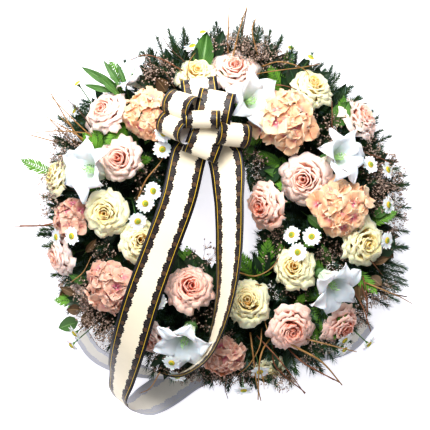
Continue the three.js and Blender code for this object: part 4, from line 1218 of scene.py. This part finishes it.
# foot, tip, leaf form and colour: 0 bright, 1 dark (partly painted shade), 2 brown.
shown_leaves = (
    ((93, 250, 92), (91, 284, 108), 0, 1), ((102, 240, 96), (100.5, 262, 112), 0, 1),
    ((216.9, 298, 60), (215, 326, 58), 1, 0), ((240, 142, 96), (224.5, 108, 114), 3, 1),
    ((248, 130, 96), (234.4, 88, 112), 3, 1), ((343.9, 252, 90), (350.9, 272, 100), 1, 1),
    ((37.9, 226, 98), (41.4, 260, 112), 1, 0), ((60.6, 232, 102), (65.7, 254, 110), 1, 1),
    ((212, 262, 84), (209.5, 296, 92), 0, 1), ((207, 250, 96), (203, 266, 112), 0, 0),
    ((243, 128, 86), (229, 106, 106), 0, 0), ((242, 132, 86), (238, 98, 110), 0, 0),
    ((248, 130, 86), (252, 92, 104), 3, 1), ((256, 128, 84), (262, 96, 106), 3, 1),
    ((239, 122, 84), (219, 100, 96), 0, 0), ((297, 118, 92), (303, 90, 112), 0, 1),
    ((302, 116, 92), (314, 98, 108), 0, 1), ((325, 186, 100), (330, 212, 116), 0, 0),
    ((327, 178, 100), (322, 196, 118), 0, 0), ((334, 188, 104), (340, 166, 114), 0, 0),
    ((352, 248, 92), (348, 276, 100), 0, 1), ((358, 240, 94), (2, 262, 108), 0, 0),
    ((357, 134, 98), (351, 158, 114), 0, 0), ((30, 112, 92), (44, 96, 104), 0, 0),
    ((40, 116, 92), (58, 110, 110), 0, 0), ((12, 128, 98), (24, 108, 116), 0, 0),
    ((37, 246, 96), (41, 262, 112), 0, 0), ((31, 240, 96), (33, 258, 112), 0, 0),
    ((60, 210, 96), (66, 232, 116), 0, 1), ((88, 200, 112), (93, 222, 126), 0, 0),
    ((146, 176, 96), (140, 198, 116), 0, 0), ((152, 204, 96), (148, 226, 114), 0, 0),
    ((170, 206, 96), (166, 228, 116), 0, 0), ((183, 206, 98), (187, 226, 108), 0, 0),
    ((133, 212, 96), (136, 232, 112), 0, 0), ((224, 204, 90), (219, 190, 104), 2, 1),
    ((206, 190, 92), (214, 170, 102), 2, 1), ((196, 206, 92), (192, 182, 104), 2, 1),
    ((214, 282, 88), (212, 297, 96), 3, 2), ((209, 276, 90), (205, 289, 98), 0, 2),
    ((206, 284, 84), (209, 300, 86), 1, 2), ((216, 276, 84), (220, 289, 86), 1, 2),
    ((341, 254, 92), (344, 270, 104), 0, 2), ((336, 258, 92), (335, 275, 104), 3, 2),
    ((347, 258, 90), (345, 279, 88), 1, 2), ((331, 246, 96), (327, 258, 108), 1, 2),
    ((62, 126, 86), (60, 88, 108), 1, 1), ((54, 126, 84), (50, 70, 104), 0, 1),
    ((70, 126, 90), (69, 94, 114), 0, 0), ((47, 126, 84), (43, 62, 98), 1, 1),
    ((334, 128, 84), (330, 72, 94), 1, 1), ((322, 128, 84), (316, 80, 96), 1, 1),
    ((36, 128, 84), (31, 74, 100), 1, 1), ((78, 128, 90), (78, 92, 116), 1, 1),
    ((300, 244, 84), (299, 272, 92), 0, 1), ((306, 244, 84), (308, 270, 94), 1, 1),
    ((294, 244, 84), (292, 270, 92), 0, 1), ((312, 246, 80), (314, 272, 86), 0, 1),
    ((120, 236, 96), (124, 262, 104), 0, 1),
    ((289, 238, 88), (288, 264, 96), 0, 1), ((303, 250, 78), (304, 282, 80), 0, 1),
    ((247, 246, 84), (245, 274, 88), 0, 1), ((254, 240, 84), (256, 268, 90), 1, 1),
    ((206, 168, 96), (202, 150, 104), 1, 2), ((209, 176, 94), (207, 158, 104), 1, 2),
    ((196, 232, 100), (193, 214, 112), 2, 2), ((64, 208, 104), (55, 236, 108), 0, 2),
    ((116, 216, 100), (117, 238, 110), 1, 2), ((129, 182, 100), (138, 170, 112), 0, 0),
)
kinds = (leaf_forms[0], round_forms[0], leaf_forms[1], round_forms[1])
bm = bmesh.new()
for number, (foot, tip, kind, colour) in enumerate(shown_leaves):
    foot, tip = place(*foot), place(*tip)
    put(bm, kinds[kind], leaf_matrix(foot, tip, 0.5 * math.sin(2.4 * number), 1.15), [colour])
    stem_onto(bm, foot.lerp(tip, 0.05), foot - (tip - foot) * 0.5 - Vector((0, 0, 12 * MM)),
              0.6 * MM, 3, sides=4)
made = piece_from(bm, "small_leaves", bright_leaf, dark_leaf_with_gap_shade, brown_leaf, stem_green)


# ---- Ferns: pressed plastic fronds with paired leaflets, fresh green, pushed in beside the heads.
def fern_form(seed, pairs=13):
    """A frond one unit long along +Z, its upper side towards +X."""
    rnd = random.Random(seed)
    bm = bmesh.new()
    for i in range(2 * pairs):
        share = (i // 2 + 0.8) / pairs
        way = 1 if i % 2 else -1
        long = 0.30 * math.sin(math.pi * min(1.0, 0.22 + 0.76 * share)) * rnd.uniform(0.9, 1.1)
        slope = math.radians(52 - 14 * share + rnd.uniform(-4, 4))
        lift = rnd.uniform(-0.02, 0.05)

        def shape(u, v):
            half = 0.028 * math.sin(math.pi * min(1.0, 0.15 + 0.85 * v))
            across = way * (v * long * math.sin(slope)) + u * half * math.cos(slope)
            along = share * 0.94 + v * long * math.cos(slope) - way * u * half * math.sin(slope)
            return Vector((-0.16 * along**2 - 0.5 * v * v * long**2 + lift * v, across, along))

        petal_onto(bm, shape, across=2, along=3, ring=rnd.random(), tint=rnd.random())
    sweep_onto(bm, [Vector((0, 0, 0)), Vector((-0.04, 0, 0.5)), Vector((-0.15, 0, 0.97))],
               0.012, 1, sides=4, thin=0.5, steps=3)
    return form_from(bm, f"fern_form_{seed}")


fern_green = leaf_finish("fern_green", (0.05, 0.17, 0.008), (0.15, 0.36, 0.03), (0.22, 0.42, 0.08), 0.5)
fern_forms = [fern_form(seed) for seed in (71, 72)]
fern_runs = (
    ((158, 203, 95), (152.6, 243, 118)), ((156.8, 212, 95), (149.4, 240, 112)),
    ((145.8, 189, 95), (131.3, 200, 112)), ((141.7, 182, 95), (137.4, 215, 112)),
    ((150, 196, 92), (143, 206, 116)), ((129.7, 252, 92), (128.2, 292, 104)),
    ((167.4, 288, 64), (165.8, 326, 80)), ((171, 200, 95), (168.4, 231, 112)),
    ((37, 122, 90), (53.7, 106, 108)), ((44, 130, 90), (31.7, 104, 104)),
    ((12, 132, 95), (23.8, 104, 112)), ((36.2, 232, 92), (42.1, 256, 110)),
    ((61.7, 212, 92), (70.9, 234, 108)), ((212.8, 268, 78), (208.6, 298, 94)),
    ((244.5, 130, 88), (223.9, 108, 108)), ((243.8, 136, 88), (229.8, 96, 104)),
    ((296, 124, 90), (287, 80, 112)), ((300.4, 124, 90), (319, 92, 110)),
    ((310.6, 188, 90), (320, 200, 108)), ((311, 204, 90), (312.4, 256, 104)),
    ((310, 212, 92), (306, 246, 100)), ((327.3, 206, 92), (330, 168, 114)),
    ((335.9, 224, 90), (332.6, 262, 106)), ((355, 236, 90), (359.2, 264, 104)),
    ((148, 184, 92), (152, 160, 110)), ((165, 196, 92), (158, 186, 114)),
    ((305, 196, 92), (311, 186, 110)), ((66, 246, 84), (68, 276, 96)),
    ((140, 216, 96), (146, 190, 122)), ((152, 170, 96), (147, 152, 116)),
    ((134, 168, 96), (127, 152, 116)), ((60, 150, 92), (68, 124, 112)),
    ((348, 160, 96), (340, 142, 112)), ((318, 134, 92), (326, 110, 108)),
    ((280, 140, 90), (272, 116, 104)), ((236, 150, 92), (226, 128, 106)),
    ((149, 206, 104), (158, 228, 128)), ((139, 206, 104), (147, 214, 132)),
    ((128, 172, 100), (134, 196, 126)), ((323, 224, 92), (318, 250, 112)),
)
bm = bmesh.new()
for number, (foot, tip) in enumerate(fern_runs):
    foot, tip = place(*foot), place(*tip)
    put(bm, fern_forms[number % 2], leaf_matrix(foot, tip, 0.4 * math.sin(1.7 * number), 1.38))
made = piece_from(bm, "ferns", fern_green, stem_green)


# ---- Sea lavender: dried-look sprays of tiny beige and grey florets on wiry stems, tucked between
# the flowers and over the fir. A few sprays are white.
def filler_form(seed, florets=10):
    """A spray along +Z from the origin, in millimetres: seven shoots, each with a loose head."""
    rnd = random.Random(seed)
    bm = bmesh.new()
    for shoot in range(7):
        turn = math.radians(137.5 * shoot) + rnd.uniform(-0.4, 0.4)
        lean = math.radians(rnd.uniform(12, 44))
        end = spread(turn, math.sin(lean), math.cos(lean)) * rnd.uniform(25, 37)
        stem_onto(bm, Vector((0, 0, 0)), end * 0.8, 0.38, 2, sides=3, thin=0.7)
        for i in range(florets):
            off = Vector((rnd.uniform(-1, 1), rnd.uniform(-1, 1), rnd.uniform(-0.7, 0.5))) * 7.5
            at = end + off
            stem_onto(bm, end * 0.8, at, 0.22, 2, sides=3, thin=0.7)
            size = rnd.uniform(0.9, 1.7)
            tip_to = (off + Vector((0, 0, 8))).normalized()
            made = bmesh.ops.create_cone(bm, cap_ends=True, segments=4, radius1=0.25 * size,
                                         radius2=size, depth=1.5 * size,
                                         matrix=aimed(at, tip_to))
            for face in faces_round(made["verts"]):
                face.material_index = rnd.choice((0, 0, 1))
    form = form_from(bm, f"filler_form_{seed}")
    form.transform(Matrix.Scale(MM, 4))
    return form


floret_beige = plain_finish("floret_beige", (0.30, 0.20, 0.15), (0.58, 0.45, 0.37), 0.8, 220.0)
floret_grey = plain_finish("floret_grey", (0.10, 0.075, 0.06), (0.30, 0.24, 0.21), 0.8, 220.0)
floret_white = plain_finish("floret_white", (0.70, 0.70, 0.68), (0.88, 0.88, 0.88), 0.7, 220.0)
# Beige and grey florets are numbered 0 and 1, stems 2, and white florets 3.
filler_forms = [filler_form(seed) for seed in (81, 82, 83)]
beige_at = (
    (117.2, 263, 112), (114.1, 244, 110), (155.9, 300, 92), (155.7, 277, 100),
    (155.3, 253, 104), (150.5, 149, 112), (159.3, 135, 112), (177.1, 286, 88), (85.1, 281, 98),
    (79.8, 272, 102), (87.5, 264, 100), (76.8, 260, 104), (44, 202, 116), (35.6, 203, 118),
    (39.8, 227, 114), (32.5, 184, 114), (17.3, 247, 104), (10.6, 260, 100), (4.4, 246, 104),
    (1.4, 266, 96), (29.2, 62, 112), (200, 216, 114), (198.3, 204, 112), (217.6, 290, 100),
    (221.6, 286, 100), (219.9, 265, 106), (212.6, 262, 110), (247.1, 72, 104), (258.6, 170, 110),
    (251.9, 274, 92), (255.5, 276, 90), (262.9, 271, 90), (341.8, 86, 112), (325.3, 90, 112),
    (339.7, 176, 114), (337.4, 193, 112), (332.7, 175, 114), (309.8, 178, 110), (270.4, 209, 110),
    (271.6, 228, 106), (289.7, 300, 90), (269.7, 276, 88), (333.8, 298, 84), (73, 256, 100),
    (161, 290, 88), (172, 296, 84), (82, 258, 104), (14, 252, 100), (7, 254, 100),
    (113, 256, 104), (226, 276, 96), (246, 268, 88), (276, 272, 84),
    (88, 284, 96), (84, 272, 104), (80, 286, 92), (76, 274, 100), (92, 276, 98), (72, 268, 100),
    (211, 276, 96), (214, 266, 104), (223, 272, 100), (208, 262, 104), (218, 278, 92),
    (60, 88, 112), (48, 70, 106), (66, 100, 116), (12, 274, 92), (8, 284, 84), (18, 270, 92),
    (358, 282, 84), (352, 272, 96), (24, 262, 100), (327, 274, 92), (322, 280, 84), (265, 258, 96),
    (258, 262, 96), (280, 262, 96), (286, 282, 88), (158, 282, 92), (166, 276, 92),
    (304, 262, 104), (309, 270, 98), (300, 276, 96), (5, 290, 76), (15, 292, 76), (333, 284, 92),
    (206, 282, 88), (226, 284, 84), (230, 262, 92),
)
white_at = (
    (53, 80, 112), (169.4, 199, 116), (188, 162, 118), (299.9, 148, 116), (331.3, 199, 136),
    (181.2, 170, 116), (30.5, 262, 100), (2, 274, 96),
)
bm = bmesh.new()
rnd = random.Random(29)
for number, (clock, reach, height) in enumerate(beige_at + white_at):
    head = place(clock, reach, height)
    foot = place(clock, reach + (CORE_REACH - reach) * 0.32, height - 30)
    run = (head - foot).normalized()
    white = number >= len(beige_at)
    size = 0.62 if white else rnd.uniform(0.85, 1.15)
    # A spray's florets are about 30 mm up from its foot.
    matrix = aimed(head - run * 30 * size * MM, run, rnd.uniform(0, 6.3), size)
    put(bm, filler_forms[number % 3], matrix, (3, 3, 2) if white else None)
    sweep_onto(bm, [place(clock, CORE_REACH, 30), head - run * 34 * size * MM, head - run * 28 * size * MM],
               0.8 * MM, 2, sides=4, thin=0.7, steps=2)
made = piece_from(bm, "sea_lavender", floret_beige, floret_grey, dark_bark, floret_white, smooth=False)


# ---- The ring and the bow's wire are the solids themselves: pressed dark green florist's foam, and
# green lacquered wire. The foam is kept near black, which is partly painted shade where it shows
# through the gaps.
dark_foam_and_gap_shade = plain_finish("dark_foam_and_gap_shade", (0.008, 0.02, 0.009), (0.025, 0.05, 0.022), 0.92, 500.0, 0.0012)
wire_finish = plain_finish("wire_finish", (0.02, 0.05, 0.02), (0.05, 0.09, 0.04), 0.35, 300.0, 0.0001)
for node, finish in (("foam_ring", dark_foam_and_gap_shade), ("bow_wire", wire_finish)):
    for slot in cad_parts[node].material_slots:
        slot.material = finish
